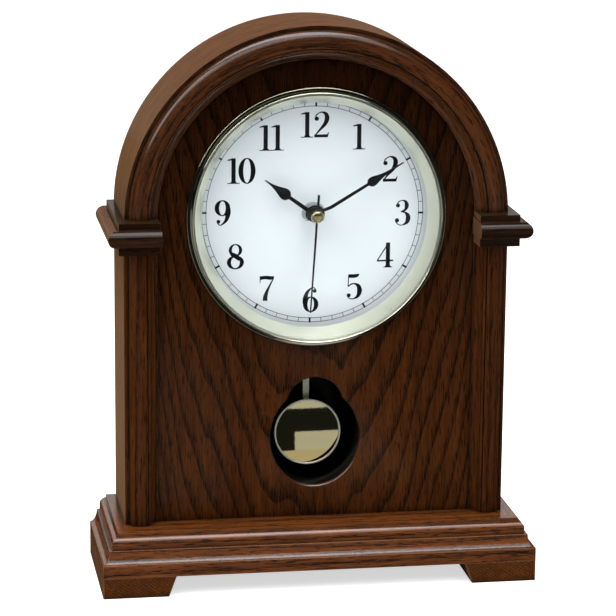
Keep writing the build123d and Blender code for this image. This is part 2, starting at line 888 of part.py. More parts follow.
with BuildPart() as hand_cap:
    cap_front = second_hand_depth - cap_length
    extrude(disc(cap_front, cap_radius), amount=cap_length, dir=backward)
    fillet(hand_cap.faces().sort_by(Axis.Y)[0].edges(), cap_round)

# Pendulum drive: an open-fronted box under the movement, with a coil and a pivot pin
with BuildPart() as pendulum_drive_case:
    half_drive = drive_width / 2
    drive_outline = upright_rectangle(drive_front, -half_drive, half_drive, drive_bottom, movement_bottom)
    extrude(drive_outline, amount=drive_depth, dir=backward)
    drive_pocket = upright_rectangle(
        drive_front,
        movement_wall - half_drive,
        half_drive - movement_wall,
        drive_bottom + movement_wall,
        movement_bottom - movement_wall,
    )
    extrude(drive_pocket, amount=drive_depth - movement_wall, dir=backward, mode=Mode.SUBTRACT)
    pin_hole = disc(drive_front, pivot_radius + press_clearance, z=pivot_centre)
    extrude(pin_hole, amount=drive_depth, dir=backward, mode=Mode.SUBTRACT)

with BuildPart() as drive_coil:
    coil_front = drive_back - movement_wall - drive_coil_length
    with BuildSketch(upright(coil_front, z=pivot_centre - magnet_drop)):
        Circle(drive_coil_radius)
        Circle(drive_coil_bore, mode=Mode.SUBTRACT)
    extrude(amount=drive_coil_length, dir=backward)

with BuildPart() as pivot_pin:
    pin_start = drive_back - movement_wall
    head_front = drive_back + hanger_gap + hanger_hub_length + hanger_gap / 2
    extrude(disc(pin_start, pivot_radius, z=pivot_centre), amount=head_front - pin_start, dir=backward)
    extrude(disc(head_front, pivot_head_radius, z=pivot_centre), amount=pivot_head, dir=backward)

# Pendulum: hanger with its magnet, grooved strip rod and dished bob
with BuildPart() as pendulum_hanger:
    hub_front = drive_back + hanger_gap
    extrude(disc(hub_front, hanger_hub_radius, z=pivot_centre), amount=hanger_hub_length, dir=backward)
    arm = upright_rectangle(
        hanger_front, -hanger_width / 2, hanger_width / 2, pivot_centre - hanger_length, pivot_centre
    )
    extrude(arm, amount=hanger_thickness, dir=backward)
    stud = disc(hanger_back, stud_radius, z=pivot_centre - stud_drop)
    extrude(stud, amount=stud_length, dir=backward)
    pin_bore = disc(hub_front, pivot_radius + running_clearance, z=pivot_centre)
    extrude(pin_bore, amount=hanger_hub_length, dir=backward, mode=Mode.SUBTRACT)

with BuildPart() as drive_magnet:
    magnet_face = disc(hanger_front - magnet_thickness, magnet_radius, z=pivot_centre - magnet_drop)
    extrude(magnet_face, amount=magnet_thickness, dir=backward)

with BuildPart() as pendulum_rod:
    strip_top = pivot_centre - stud_drop + rod_top
    strip_bottom = bob_centre - rod_past_centre
    strip = upright_rectangle(hanger_back, -rod_width / 2, rod_width / 2, strip_bottom, strip_top)
    extrude(strip, amount=rod_thickness, dir=backward)
    groove_top = pivot_centre - hanger_length
    groove = upright_rectangle(
        hanger_back, -rod_groove_width / 2, rod_groove_width / 2, strip_bottom, groove_top
    )
    extrude(groove, amount=rod_groove_depth, dir=backward, mode=Mode.SUBTRACT)
    stud_hole = disc(hanger_back, stud_radius + running_clearance, z=pivot_centre - stud_drop)
    extrude(stud_hole, amount=rod_thickness, dir=backward, mode=Mode.SUBTRACT)

with BuildPart() as pendulum_bob:
    rim_front = hanger_back - bob_depth
    face_radius = bob_radius - bob_rim
    face_edge = rim_front + bob_groove
    inner_back = face_edge + bob_wall
    sphere = (face_radius**2 + bob_dome**2) / (2 * bob_dome)
    half_rise = sphere - math.sqrt(sphere**2 - (face_radius / 2) ** 2)
    with BuildSketch(Plane.XY.offset(bob_centre)):
        with BuildLine():
            ThreePointArc(
                (0, face_edge - bob_dome),
                (face_radius / 2, face_edge - bob_dome + half_rise),
                (face_radius, face_edge),
            )
            Polyline(
                (face_radius, face_edge),
                (face_radius, rim_front),
                (bob_radius, rim_front),
                (bob_radius, hanger_back),
                (face_radius, hanger_back),
                (face_radius, inner_back),
                (0, inner_back),
                (0, face_edge - bob_dome),
            )
        make_face()
    revolve(axis=Axis((0, 0, bob_centre), (0, 1, 0)))

# Back board with the door's opening, and the door with a finger hole
half_door = door_width / 2
with BuildPart() as back_board:
    extrude(arch_outline(board_front, inner_half - joint_gap, base_top), amount=back_thickness, dir=backward)
    opening = upright_rectangle(
        board_front,
        -half_door - door_gap,
        half_door + door_gap,
        door_bottom - door_gap,
        door_top + door_gap,
    )
    extrude(opening, amount=back_thickness, dir=backward, mode=Mode.SUBTRACT)

with BuildPart() as back_door:
    door_outline = upright_rectangle(board_front, -half_door, half_door, door_bottom, door_top)
    extrude(door_outline, amount=back_thickness, dir=backward)
    door_middle = (door_bottom + door_top) / 2
    finger_hole = disc(board_front, finger_radius, half_door - finger_inset, door_middle)
    extrude(finger_hole, amount=back_thickness, dir=backward, mode=Mode.SUBTRACT)


# Hinges: each leaf is a plate with its own knuckles round a pin
def hinge_leaf(middle, side, knuckle_spans):
    """Leaf on the frame (side -1) or the door (side 1), with knuckles over the given spans."""
    bottom = middle - hinge_height / 2
    near = knuckle_radius + knuckle_side_gap
    plate_ends = sorted((hinge_x + side * near, hinge_x + side * leaf_width))
    neck_ends = sorted((hinge_x, hinge_x + side * near))
    leaf_back = back_face + leaf_thickness
    with BuildPart() as leaf:
        extrude(plan_rectangle(bottom, *plate_ends, back_face, leaf_back), amount=hinge_height)
        for low, high in knuckle_spans:
            start = bottom + low
            extrude(plan_rectangle(start, *neck_ends, back_face, leaf_back), amount=high - low)
            with BuildSketch(Plane(origin=(hinge_x, hinge_y, start))) as knuckle:
                Circle(knuckle_radius)
            extrude(knuckle.sketch, amount=high - low)
        with BuildSketch(Plane(origin=(hinge_x, hinge_y, bottom))) as bore:
            Circle(hinge_pin_radius + running_clearance)
        extrude(bore.sketch, amount=hinge_height, mode=Mode.SUBTRACT)
    return leaf


def hinge_pin(middle):
    """Plain pin as long as the hinge."""
    with BuildPart() as pin:
        with BuildSketch(Plane(origin=(hinge_x, hinge_y, middle - hinge_height / 2))):
            Circle(hinge_pin_radius)
        extrude(amount=hinge_height)
    return pin


third_height = hinge_height / 3
frame_spans = ((0, third_height - knuckle_gap), (2 * third_height + knuckle_gap, hinge_height))
door_spans = ((third_height + knuckle_gap, 2 * third_height - knuckle_gap),)

# Catch: a magnet block behind the back board's edge and a steel plate on the door
catch_bottom = door_top - catch_drop - catch_height / 2
with BuildPart() as catch_magnet:
    seat_edge = half_door + door_gap
    catch_face = board_front - catch_plate_thickness
    with BuildSketch(Plane.XY.offset(catch_bottom)):
        with BuildLine():
            Polyline(
                (seat_edge + catch_seat, board_front),
                (seat_edge, board_front),
                (seat_edge, catch_face),
                (half_door - catch_reach, catch_face),
                (half_door - catch_reach, catch_face - catch_depth),
                (seat_edge + catch_seat, catch_face - catch_depth),
                close=True,
            )
        make_face()
    extrude(amount=catch_height)

with BuildPart() as catch_plate:
    plate_outline = upright_rectangle(
        catch_face,
        half_door - catch_reach,
        half_door - catch_plate_margin,
        catch_bottom,
        catch_bottom + catch_height,
    )
    extrude(plate_outline, amount=catch_plate_thickness, dir=backward)

# Every piece, by the name of its node
pieces = {
    "left_foot": left_foot,
    "right_foot": right_foot,
    "base_plinth": base_plinth,
    "base_top_board": base_top_board,
    "left_side_board": left_side_board,
    "right_side_board": right_side_board,
    "arch_roof": arch_roof,
    "front_panel": front_panel,
    "left_pilaster": left_pilaster,
    "right_pilaster": right_pilaster,
    "arch_moulding": arch_moulding,
    "left_impost": left_impost,
    "right_impost": right_impost,
    "bezel": bezel,
    "dial_glass": dial_glass,
    "dial_plate": dial_plate,
    "dial_washer": dial_washer,
    "centre_nut": centre_nut,
    "movement_case": movement_case,
    "movement_cover": movement_cover,
    "battery": battery,
    "positive_contact": positive_contact,
    "negative_contact": negative_contact,
    "circuit_board": circuit_board,
    "motor_coil": motor_coil,
    "hour_wheel": hour_wheel,
    "minute_arbor": minute_arbor,
    "second_arbor": second_arbor,
    "motion_wheel": motion_wheel,
    "third_wheel": third_wheel,
    "setting_knob": setting_knob,
    "hour_hand": hour_hand,
    "minute_hand": minute_hand,
    "second_hand": second_hand,
    "hand_cap": hand_cap,
    "pendulum_drive_case": pendulum_drive_case,
    "drive_coil": drive_coil,
    "pivot_pin": pivot_pin,
    "pendulum_hanger": pendulum_hanger,
    "drive_magnet": drive_magnet,
    "pendulum_rod": pendulum_rod,
    "pendulum_bob": pendulum_bob,
    "back_board": back_board,
    "back_door": back_door,
    "catch_magnet": catch_magnet,
    "catch_plate": catch_plate,
}
for place, middle in hinge_heights.items():
    pieces[f"{place}_hinge_frame_leaf"] = hinge_leaf(middle, -1, frame_spans)
    pieces[f"{place}_hinge_door_leaf"] = hinge_leaf(middle, 1, door_spans)
    pieces[f"{place}_hinge_pin"] = hinge_pin(middle)

os.makedirs("parts", exist_ok=True)
for name, piece in pieces.items():
    piece.part.label = name
    export_step(piece.part, f"parts/{name}.step")
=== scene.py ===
import json
import math

import bmesh
import bpy
from mathutils import Matrix, Vector
from mathutils.geometry import delaunay_2d_cdt


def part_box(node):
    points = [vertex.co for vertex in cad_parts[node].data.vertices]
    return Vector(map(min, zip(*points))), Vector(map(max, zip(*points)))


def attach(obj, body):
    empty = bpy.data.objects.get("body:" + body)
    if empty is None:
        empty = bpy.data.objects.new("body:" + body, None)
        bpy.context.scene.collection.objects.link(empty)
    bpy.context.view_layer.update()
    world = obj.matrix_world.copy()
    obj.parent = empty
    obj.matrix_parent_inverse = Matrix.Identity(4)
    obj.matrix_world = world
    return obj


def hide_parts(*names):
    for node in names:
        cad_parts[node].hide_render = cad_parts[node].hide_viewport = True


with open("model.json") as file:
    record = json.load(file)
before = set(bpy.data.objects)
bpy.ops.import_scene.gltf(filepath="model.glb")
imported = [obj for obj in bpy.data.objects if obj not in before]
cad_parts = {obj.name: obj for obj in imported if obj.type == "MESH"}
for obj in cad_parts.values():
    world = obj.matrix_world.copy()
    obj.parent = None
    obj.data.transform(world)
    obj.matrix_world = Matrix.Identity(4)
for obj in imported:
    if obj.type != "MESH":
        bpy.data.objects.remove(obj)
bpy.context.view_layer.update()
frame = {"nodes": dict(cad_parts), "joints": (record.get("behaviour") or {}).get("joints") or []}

# Arched table clock: finishes, dial print, bob, bezel, screws, studio and camera, in metres
nodes = frame["nodes"]
joints = {joint["name"]: joint for joint in frame["joints"]}
MM = 0.001

# Places read from the frame
DIAL_CENTRE = joints["minute_turn"]["pos_m"][2]
DIAL_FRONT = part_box("dial_plate")[0].y
PANEL_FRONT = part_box("front_panel")[0].y
BOARD_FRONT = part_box("back_board")[0].y
ARCH_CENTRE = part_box("left_side_board")[1].z
ARCH_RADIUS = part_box("arch_roof")[1].x

# Camera at the photograph's place, with its lens and sensor in millimetres
CAMERA_PLACE = Vector((-0.2393, -1.4258, 0.4804))
CAMERA_AZIMUTH = math.radians(9.44)
CAMERA_PITCH = math.radians(13.04)
CAMERA_ROLL = math.radians(0.52)
CAMERA_LENS = 161.26
CAMERA_SENSOR = 36.0
CAMERA_CLIP = 50.0

# Sockets of the Mix node that carry colours
MIX_FACTOR = 0
MIX_FIRST = 6
MIX_SECOND = 7
MIX_RESULT = 2

# Noise textures: their usual reach, and the detail of fine ones
NOISE_REACH = (0.3, 0.7)
FINE_DETAIL = 3.0

# Wood: how its marks run, how fine they are per metre and how strongly they show
GRAIN_STRETCH = 14.0
CATHEDRAL_CURVE = 32.0
CATHEDRAL_SPREAD = 3.6
END_RING_SLANT = 0.62
WANDER_SCALE = 45.0
WANDER_RINGS = 2.2
WANDER_TONE = 0.35
STREAK_SCALE = 420.0
STREAK_DETAIL = 4.0
STREAK_ROUGHNESS = 0.65
STREAK_TONE = 0.65
STREAK_RELIEF = 0.5
TONE_RANGE = (0.38, 0.62)
PORE_SCALE = 1700.0
PORE_ROUGHNESS = 0.6
PORE_RANGE = (0.55, 0.64)
PORE_SHADE = 0.85
PORE_RELIEF = 0.8
RING_SHADE = ((0.0, 1.0), (0.10, 0.8), (0.30, 0.2), (0.48, 0.0), (0.95, 0.0), (1.0, 1.0))
RING_DEPTH = 0.6
RING_PORES = 0.13
# Painted shade in grooves and recesses, from ambient occlusion: its reach, samples, range and darkest
# level
GROOVE_REACH = 4.0 * MM
GROOVE_SAMPLES = 4
GROOVE_RANGE = (0.35, 0.95)
GROOVE_SHADE = 0.3
WOOD_RELIEF = 0.08 * MM
WOOD_BUMP = 0.4
WOOD_ROUGHNESS = (0.62, 0.5)
LACQUER_IOR = 1.8
LACQUER_GLOSS = 0.14
SHEEN_ROUGHNESS = 0.5
SHEEN_TINT = (1.0, 0.72, 0.42)

# Stains: colour of the pores, and the deepest and lightest colour of the wood between them
CASE_STAIN = ((0.0070, 0.0031, 0.0014), (0.034, 0.0090, 0.0019), (0.067, 0.0190, 0.0038))
SIDE_STAIN = ((0.0090, 0.0045, 0.0020), (0.056, 0.0165, 0.0038), (0.105, 0.0320, 0.0068))
BASE_STAIN = ((0.0090, 0.0042, 0.0018), (0.086, 0.0230, 0.0040), (0.185, 0.0500, 0.0078))
ARCH_STAIN = ((0.0050, 0.0022, 0.0010), (0.037, 0.0096, 0.0019), (0.080, 0.0220, 0.0038))
# Eased edges: lighter wood for wear, and painted highlight along each edge
WEAR_AND_HIGHLIGHT_STAIN = ((0.040, 0.016, 0.007), (0.120, 0.048, 0.018), (0.180, 0.075, 0.028))
IMPOST_STAIN = ((0.0028, 0.0015, 0.0009), (0.011, 0.0036, 0.0011), (0.024, 0.0075, 0.0020))
BACK_STAIN = ((0.008, 0.004, 0.003), (0.040, 0.020, 0.010), (0.068, 0.034, 0.017))

# Black insides, part black paint and part painted shade, and the heights between which painted shade
# darkens the panel towards the top
INNER_BLACK_AND_SHADE = (0.004, 0.0035, 0.003)
PANEL_SHADE_HEIGHTS = (70 * MM, 285 * MM)
PANEL_SHADE_LEVELS = (1.0, 0.18)
PANEL_LIP = 1.6 * MM
BOARD_SKIN = 0.4 * MM

# Eased edges of the wood, whose rounded faces take a lighter finish of wear and painted highlight, and
# which faces take a second finish
BOARD_EASE = 0.4 * MM
PILASTER_EASE = 0.2 * MM
EASE_SEGMENTS = 2
EASE_ANGLE = math.radians(38)
EASE_WELD = 0.002 * MM
EASE_WEIGHT = 80
WEAR_AND_HIGHLIGHT_SLOT = 1
IMPOST_LIT_SIDE_SLOT = 2
IMPOST_LIT_SIDE_FACING = 0.05
PANEL_LIP_FACING = (-0.97, -0.02)
ROOF_SKIN = 0.1 * MM

# Metals: colours, and the marks left by polishing
GILT = (0.83, 0.72, 0.44)
CHAMPAGNE = (0.83, 0.83, 0.68)
STRIP_GILT = (0.66, 0.67, 0.54)
RIM_GILT = (0.92, 0.90, 0.74)
BRASS = (0.60, 0.41, 0.16)
STEEL = (0.62, 0.62, 0.64)
POLISH_SCALE = 900.0
SATIN_MIRROR = 0.35
WIPE_STRETCH = 4.0
METAL_CLOUD = 60.0
METAL_DEEP = 0.93
METAL_RELIEF = 0.004 * MM
METAL_BUMP = 0.25
METAL_UNEVEN = (0.8, 1.25)

# Satin nickel, paint, ink and plastic: two colours that cloud into each other
NICKEL = ((0.46, 0.47, 0.49), (0.40, 0.41, 0.43))
HAND_BLACK = ((0.006, 0.006, 0.007), (0.010, 0.010, 0.011))
BLACK_PLASTIC = ((0.012, 0.012, 0.013), (0.020, 0.020, 0.021))
WHITE_PLASTIC = ((0.80, 0.80, 0.77), (0.74, 0.74, 0.70))
BOARD_GREEN = ((0.02, 0.13, 0.05), (0.03, 0.17, 0.06))
INK_BLACK = ((0.004, 0.004, 0.006), (0.008, 0.008, 0.010))
SATIN_COARSER = 20
SATIN_BUMP = 0.4
SATIN_UNEVEN = (0.9, 1.1)

# Glass, dial sheet, battery and wire
GLASS_TINT = (0.97, 0.99, 0.99)
GLASS_IOR = 1.45
SMEAR_SCALE = 30.0
SMEAR_RANGE = (0.4, 0.8)
SMEAR_ROUGHNESS = 0.02
DIAL_WHITE = ((0.89, 0.92, 0.96), (0.86, 0.90, 0.95))
DIAL_SHEET = ((0.30, 0.30, 0.31), (0.42, 0.42, 0.43))
DIAL_SKIN = 0.3 * MM
DIAL_MIRROR = 0.5
DIAL_ROUGHNESS = 0.45
DIAL_CLOUD = 120.0
DIAL_BRUSH = 2500.0
DIAL_BRUSH_STRETCH = 0.05
CELL_BLACK = ((0.015, 0.015, 0.017), (0.025, 0.025, 0.027))
CELL_COPPER = (0.48, 0.22, 0.09)
CELL_STEEL = (0.60, 0.60, 0.62)
CELL_END = 24.3 * MM
CELL_BAND = 13.0 * MM
CELL_CLOUD = 200.0
CELL_MIRROR = 0.7
CELL_ROUGHNESS = (0.22, 0.32)
WIRE_COPPER = (0.62, 0.27, 0.12)
WIRE_PITCH = 0.22 * MM
WIRE_RELIEF = 0.05 * MM
WIRE_BUMP = 0.8
WIRE_CLOUD = 300.0
WIRE_DEEP = 0.5
WIRE_MIRROR = 0.8
WIRE_ROUGHNESS = 0.35

# Digits, in units of their height
PEN_STEPS = 7
PEN_WEIGHT = 1.12
PEN_FINEST = 0.013
STEM_HALF = 0.083
SERIF_HEIGHT = 0.035
BRACKET_REACH = 0.055
BRACKET_LOW = 0.03
BRACKET_HIGH = 0.09
OVAL_STEPS = 40

# Dial print
NUMERAL_HEIGHT = 13.7 * MM
NUMERAL_RADIUS = 47.5 * MM
NUMERAL_INSET = {3: -1.1 * MM, 4: 1.1 * MM, 5: 0.8 * MM, 9: -0.9 * MM, 10: 2.3 * MM, 11: 0.9 * MM}
PRINT_TURN = math.radians(1.2)
HOUR_DEGREES = 30
MINUTE_DEGREES = 6
MINUTES = 60
NUMERAL_MINUTES = 5
INK_THICKNESS = 0.04 * MM
INK_MERGE = 1e-7
TRACK_OUTER = 59.77 * MM
TRACK_INNER = 57.5 * MM
TRACK_LINE = 0.28 * MM
TRACK_STEPS = 240
MINUTE_TICK = (0.28 * MM, TRACK_OUTER - TRACK_INNER)
HOUR_TICK = (1.0 * MM, 2.9 * MM)

# Turned pieces: steps of a rounded stretch, and what counts as the same place
ROUND_STEPS = 8
NEAR = 0.01 * MM

# Pendulum bob
BOB_DEPTH = 6.5 * MM
BOB_DOME = 0.1 * MM
BOB_RIM = 1.1 * MM
BOB_RIM_HEIGHT = 0.6 * MM
BOB_WALL = 0.8 * MM
BOB_INSET = 0.1 * MM
BOB_LEAN = math.tan(math.radians(2.0))
BOB_STEPS = 160
BOB_SHARP = math.radians(40)

# Bezel
BEZEL_BEAD = 0.2 * MM
FLANGE_HEIGHT = 0.75 * MM
WALL_FOOT = 67.55 * MM
WALL_SLOPE = math.radians(5)
CREST_RADIUS = 66.9 * MM
CREST_ROUND = 0.4 * MM
CONE_SLOPE = math.radians(151)
LIP_RADIUS = 60.6 * MM
LIP_DEPTH = 6.0 * MM
BEZEL_SHEET = 1.2 * MM
BEZEL_STEPS = 360
BEZEL_MERGE = 0.001 * MM
BEZEL_SHARP = math.radians(35)

# Hinge screws, with the turns of their slots in radians
HINGES = ("lower", "upper")
HINGE_PARTS = ("frame_leaf", "door_leaf", "pin")
LEAF_THICKNESS = 0.8 * MM
SCREW_INSET = 4.5 * MM
SCREW_RADIUS = 1.5 * MM
SCREW_HEIGHT = 0.6 * MM
SCREW_DOME = ((0, 1.0), (0.5, 0.95), (0.85, 0.75), (1.0, 0.45))
SCREW_STEPS = 12
SCREW_TURN = 0.7
SCREW_TURN_STEP = 1.9
SLOT_HALF = 0.2 * MM
SLOT_DEPTH = 0.3 * MM
SLOT_FLOOR = 0.9

# Studio: white floor and sky
WHITE = (1.0, 1.0, 1.0)
STAGE_ROUGHNESS = 0.9
FLOOR_WHITE = ((0.80, 0.80, 0.80), (0.82, 0.82, 0.82))
FLOOR_SPECK = 400.0
FLOOR_REACH = 12.0
FLOOR_LIFT = 0.62
WORLD_LIGHT = 0.50

# Studio: dim room and papers that only mirrors and glass see, as outlines on its floor
ROOM_FRONT = -3.0
ROOM_BACK = 6.0
ROOM_SIDE = 2.6
ROOM_TOP = 2.6
ROOM_FLOOR = 0.5 * MM
ROOM_CLOUD = 30.0
ROOM_DEEP = 0.9
ROOM_DARK = (0.006, 0.007, 0.006)
ROOM_PALE = (0.30, 0.31, 0.29)
ROOM_TAN = (0.31, 0.28, 0.20)
ROOM_GREY = (0.14, 0.14, 0.13)
ROOM_WHITE = (0.60, 0.60, 0.58)
TABLE = ((0.045, -0.334), (0.090, -0.334), (0.085, -0.256), (0.0335, -0.256))
NEAR_TABLE = ((0.0, -0.256), (0.090, -0.256), (0.090, -0.19), (0.0, -0.19))
FAR_STRIP = ((0.055, -0.54), (0.120, -0.54), (0.110, -0.455), (0.050, -0.455))
LEFT_PAPER = (
    (-1.0, -1.3), (-0.10, -1.3), (-0.10, -0.60), (0.02, -0.50),
    (-0.005, -0.28), (-0.03, -0.15), (-1.0, -0.15),
)
RIGHT_PAPER = ((0.36, -1.3), (1.0, -1.3), (1.0, -0.15), (0.15, -0.20), (0.19, -0.40))
SIDE_PAPER = ((0.80, -1.0), (1.10, -1.0), (1.10, 0.3), (0.80, 0.3))
FRONT_PAPER_HALF = 1.2
FRONT_PAPER_HEIGHT = 1.0
FRONT_PAPER_GAP = 10 * MM

# Studio lamps: name, place, width and height, and watts
LAMP_TARGET = Vector((0.0, 0.0, 0.15))
LAMPS = (
    ("softbox", (-0.10, -1.00, 1.35), (2.0, 0.9), 12.0),
    ("top_softbox", (-0.10, -0.10, 1.50), (1.6, 0.7), 20.0),
    ("side_softbox", (-1.05, -0.55, 1.00), (0.6, 0.9), 6.0),
)


# Shader building
def rgba(colour):
    return (*colour, 1.0)


def scaled(values, share):
    return tuple(value * share for value in values)


class Shader:
    """A new material's node tree, with short calls that add and join nodes."""

    def __init__(self, name):
        self.material = bpy.data.materials.new(name)
        self.material.use_nodes = True
        self.tree = self.material.node_tree
        self.surface = self.tree.nodes["Principled BSDF"]

    def join(self, socket, value):
        """Link a socket to an output, or set its own value."""
        if isinstance(value, bpy.types.NodeSocket):
            self.tree.links.new(value, socket)
        else:
            socket.default_value = value

    def add(self, kind, inputs=(), **settings):
        """New node of a kind, with its settings and inputs by name or number."""
        node = self.tree.nodes.new("ShaderNode" + kind)
        for name, value in settings.items():
            setattr(node, name, value)
        for socket, value in dict(inputs).items():
            self.join(node.inputs[socket], value)
        return node

    def finish(self, **values):
        """Set inputs of the surface shader, named with underscores for spaces."""
        for name, value in values.items():
            self.join(self.surface.inputs[name.replace("_", " ")], value)

    def math(self, operation, *values):
        return self.add("Math", enumerate(values), operation=operation).outputs[0]

    def own_frame(self):
        return self.add("TexCoord").outputs["Object"]

    def place(self):
        """The three coordinates of the object's own frame."""
        return self.add("SeparateXYZ", {0: self.own_frame()}).outputs

    def vector(self, x, y, z):
        return self.add("CombineXYZ", {0: x, 1: y, 2: z}).outputs[0]

    def noise(self, vector, scale, detail=2.0, roughness=0.5):
        inputs = {"Vector": vector, "Scale": scale, "Detail": detail, "Roughness": roughness}
        return self.add("TexNoise", inputs).outputs[0]

    def cloud(self, scale, detail=2.0):
        """Noise through the object's own frame."""
        return self.noise(self.own_frame(), scale, detail)

    def ramp(self, value, *stops):
        """Grey ramp through (position, level) stops."""
        node = self.add("ValToRGB", {0: value})
        elements = node.color_ramp.elements
        while len(elements) < len(stops):
            elements.new(1.0)
        for element, (position, level) in zip(elements, stops):
            element.position = position
            element.color = (level, level, level, 1.0)
        return node.outputs[0]

    def range(self, value, low, high, new_low, new_high):
        """Clamped linear map of a value."""
        return self.add("MapRange", enumerate((value, low, high, new_low, new_high))).outputs[0]

    def mix(self, factor, first, second, blend="MIX"):
        inputs = {MIX_FACTOR: factor, MIX_FIRST: first, MIX_SECOND: second}
        return self.add("Mix", inputs, data_type="RGBA", blend_type=blend).outputs[MIX_RESULT]

    def between(self, factor, colours):
        """Mix of two plain colours."""
        first, second = colours
        return self.mix(factor, rgba(first), rgba(second))

    def bump(self, height, distance, strength):
        inputs = {"Height": height, "Distance": distance, "Strength": strength}
        return self.add("Bump", inputs).outputs[0]


# Grain: where a point lies across the fibres, into the board, along the fibres and through the rings
def upright_grain(shader, x, y, z):
    return x, y, z, shader.math("ADD", x, y)


def mitred_grain(corner_x, corner_y):
    """Level fibres that turn the corner at a mitre, from the front to the sides."""

    def grain(shader, x, y, z):
        from_side = shader.math("SUBTRACT", corner_x, shader.math("ABSOLUTE", x))
        from_front = shader.math("SUBTRACT", y, corner_y)
        on_side = shader.math("LESS_THAN", from_side, from_front)
        along = shader.math("MULTIPLY_ADD", shader.math("SUBTRACT", y, x), on_side, x)
        depth = shader.math("MULTIPLY_ADD", shader.math("SUBTRACT", x, y), on_side, y)
        return z, depth, along, shader.math("ADD", z, depth)

    return grain


def end_grain(shader, x, y, z):
    """Fibres run to the back, so the front shows slanting rings."""
    return x, z, y, shader.math("MULTIPLY_ADD", x, END_RING_SLANT, z)


def arch_grain(shader, x, y, z):
    """Fibres bent round the arch."""
    rise = shader.math("SUBTRACT", z, ARCH_CENTRE)
    square = shader.math("MULTIPLY_ADD", x, x, shader.math("MULTIPLY", rise, rise))
    reach = shader.math("SQRT", square)
    turn = shader.math("ARCTAN2", x, rise)
    return reach, y, shader.math("MULTIPLY", turn, ARCH_RADIUS), shader.math("ADD", reach, y)


def cathedral_grain(shader, x, y, z):
    """Nested steep arches that point down, as on a flat-sawn board."""
    bend = shader.math("MULTIPLY", shader.math("MULTIPLY", x, x), -CATHEDRAL_CURVE)
    rings = shader.math("DIVIDE", shader.math("ADD", z, bend), CATHEDRAL_SPREAD)
    return x, y, z, rings


# Wood
def wood_marks(shader, fibre, rings, ring_pitch, band):
    """Streaks, tone of the fibres, dark start of each ring, and the pores that crowd there."""
    wander = shader.noise(fibre, WANDER_SCALE)
    count = shader.math("MULTIPLY_ADD", wander, WANDER_RINGS, shader.math("DIVIDE", rings, ring_pitch))
    early = shader.ramp(shader.math("FRACT", count), *RING_SHADE)
    streak = shader.noise(fibre, STREAK_SCALE, STREAK_DETAIL, STREAK_ROUGHNESS)
    pore = shader.noise(fibre, PORE_SCALE, roughness=PORE_ROUGHNESS)
    tone = shader.math("MULTIPLY_ADD", wander, WANDER_TONE, shader.math("MULTIPLY", streak, STREAK_TONE))
    crowd = shader.math("MULTIPLY_ADD", early, RING_PORES * band, pore)
    pits = shader.range(crowd, *PORE_RANGE, 0.0, PORE_SHADE)
    return streak, tone, early, pits


def painted_groove_shade(shader, colour):
    """Painted shade: darker where ambient occlusion finds grooves and recesses."""
    occlusion = shader.add("AmbientOcclusion", {"Distance": GROOVE_REACH}, samples=GROOVE_SAMPLES)
    level = shader.range(occlusion.outputs["AO"], *GROOVE_RANGE, GROOVE_SHADE, 1.0)
    return shader.mix(1.0, colour, level, "MULTIPLY")


def wood(name, grain, stain, seed, ring_pitch, band, lacquer, sheen, gloss=LACQUER_GLOSS, shade=None):
    """Stained ring-porous wood under satin lacquer: dark pores crowd where each ring begins, and painted
    shade darkens its grooves.
    """
    dark, middle, light = (rgba(colour) for colour in stain)
    shader = Shader(name)
    x, y, z = shader.place()
    across, depth, along, rings = grain(shader, x, y, z)
    shifted = shader.math("ADD", shader.math("DIVIDE", along, GRAIN_STRETCH), seed)
    fibre = shader.vector(across, depth, shifted)
    streak, tone, early, pits = wood_marks(shader, fibre, rings, ring_pitch, band)
    body = shader.mix(shader.range(tone, *TONE_RANGE, 0.0, 1.0), middle, light)
    ringed = shader.mix(shader.math("MULTIPLY", early, RING_DEPTH * band), body, dark)
    colour = painted_groove_shade(shader, shader.mix(pits, ringed, dark))
    if shade:
        colour = shade(shader, colour, y, z)
    ridges = shader.math("MULTIPLY", streak, STREAK_RELIEF)
    height = shader.math("MULTIPLY_ADD", pits, -PORE_RELIEF, ridges)
    shader.finish(
        Base_Color=colour,
        Roughness=shader.range(streak, *NOISE_REACH, *WOOD_ROUGHNESS),
        Normal=shader.bump(height, WOOD_RELIEF, WOOD_BUMP),
        Coat_Weight=lacquer,
        Coat_Roughness=gloss,
        Coat_IOR=LACQUER_IOR,
        Specular_IOR_Level=0.0,
        Sheen_Weight=sheen,
        Sheen_Roughness=SHEEN_ROUGHNESS,
        Sheen_Tint=rgba(SHEEN_TINT),
    )
    return shader.material


def panel_shade(shader, colour, y, z):
    """Painted shade that darkens the panel towards the top, under the arch moulding; black walls in the
    dial hole and the window, black paint deepened by painted shade.
    """
    shade_level = shader.range(z, *PANEL_SHADE_HEIGHTS, *PANEL_SHADE_LEVELS)
    shaded_colour = shader.mix(1.0, colour, shade_level, "MULTIPLY")
    # Walls behind the lip are black: black paint, deepened as painted shade where no light reaches.
    behind = shader.math("GREATER_THAN", y, PANEL_FRONT + PANEL_LIP)
    return shader.mix(behind, shaded_colour, rgba(INNER_BLACK_AND_SHADE))


def back_shade(shader, colour, y, z):
    """Painted shade: the inside of the back board and the door is black, part black paint and part shade
    where no light reaches.
    """
    inside = shader.math("LESS_THAN", y, BOARD_FRONT + BOARD_SKIN)
    return shader.mix(inside, colour, rgba(INNER_BLACK_AND_SHADE))


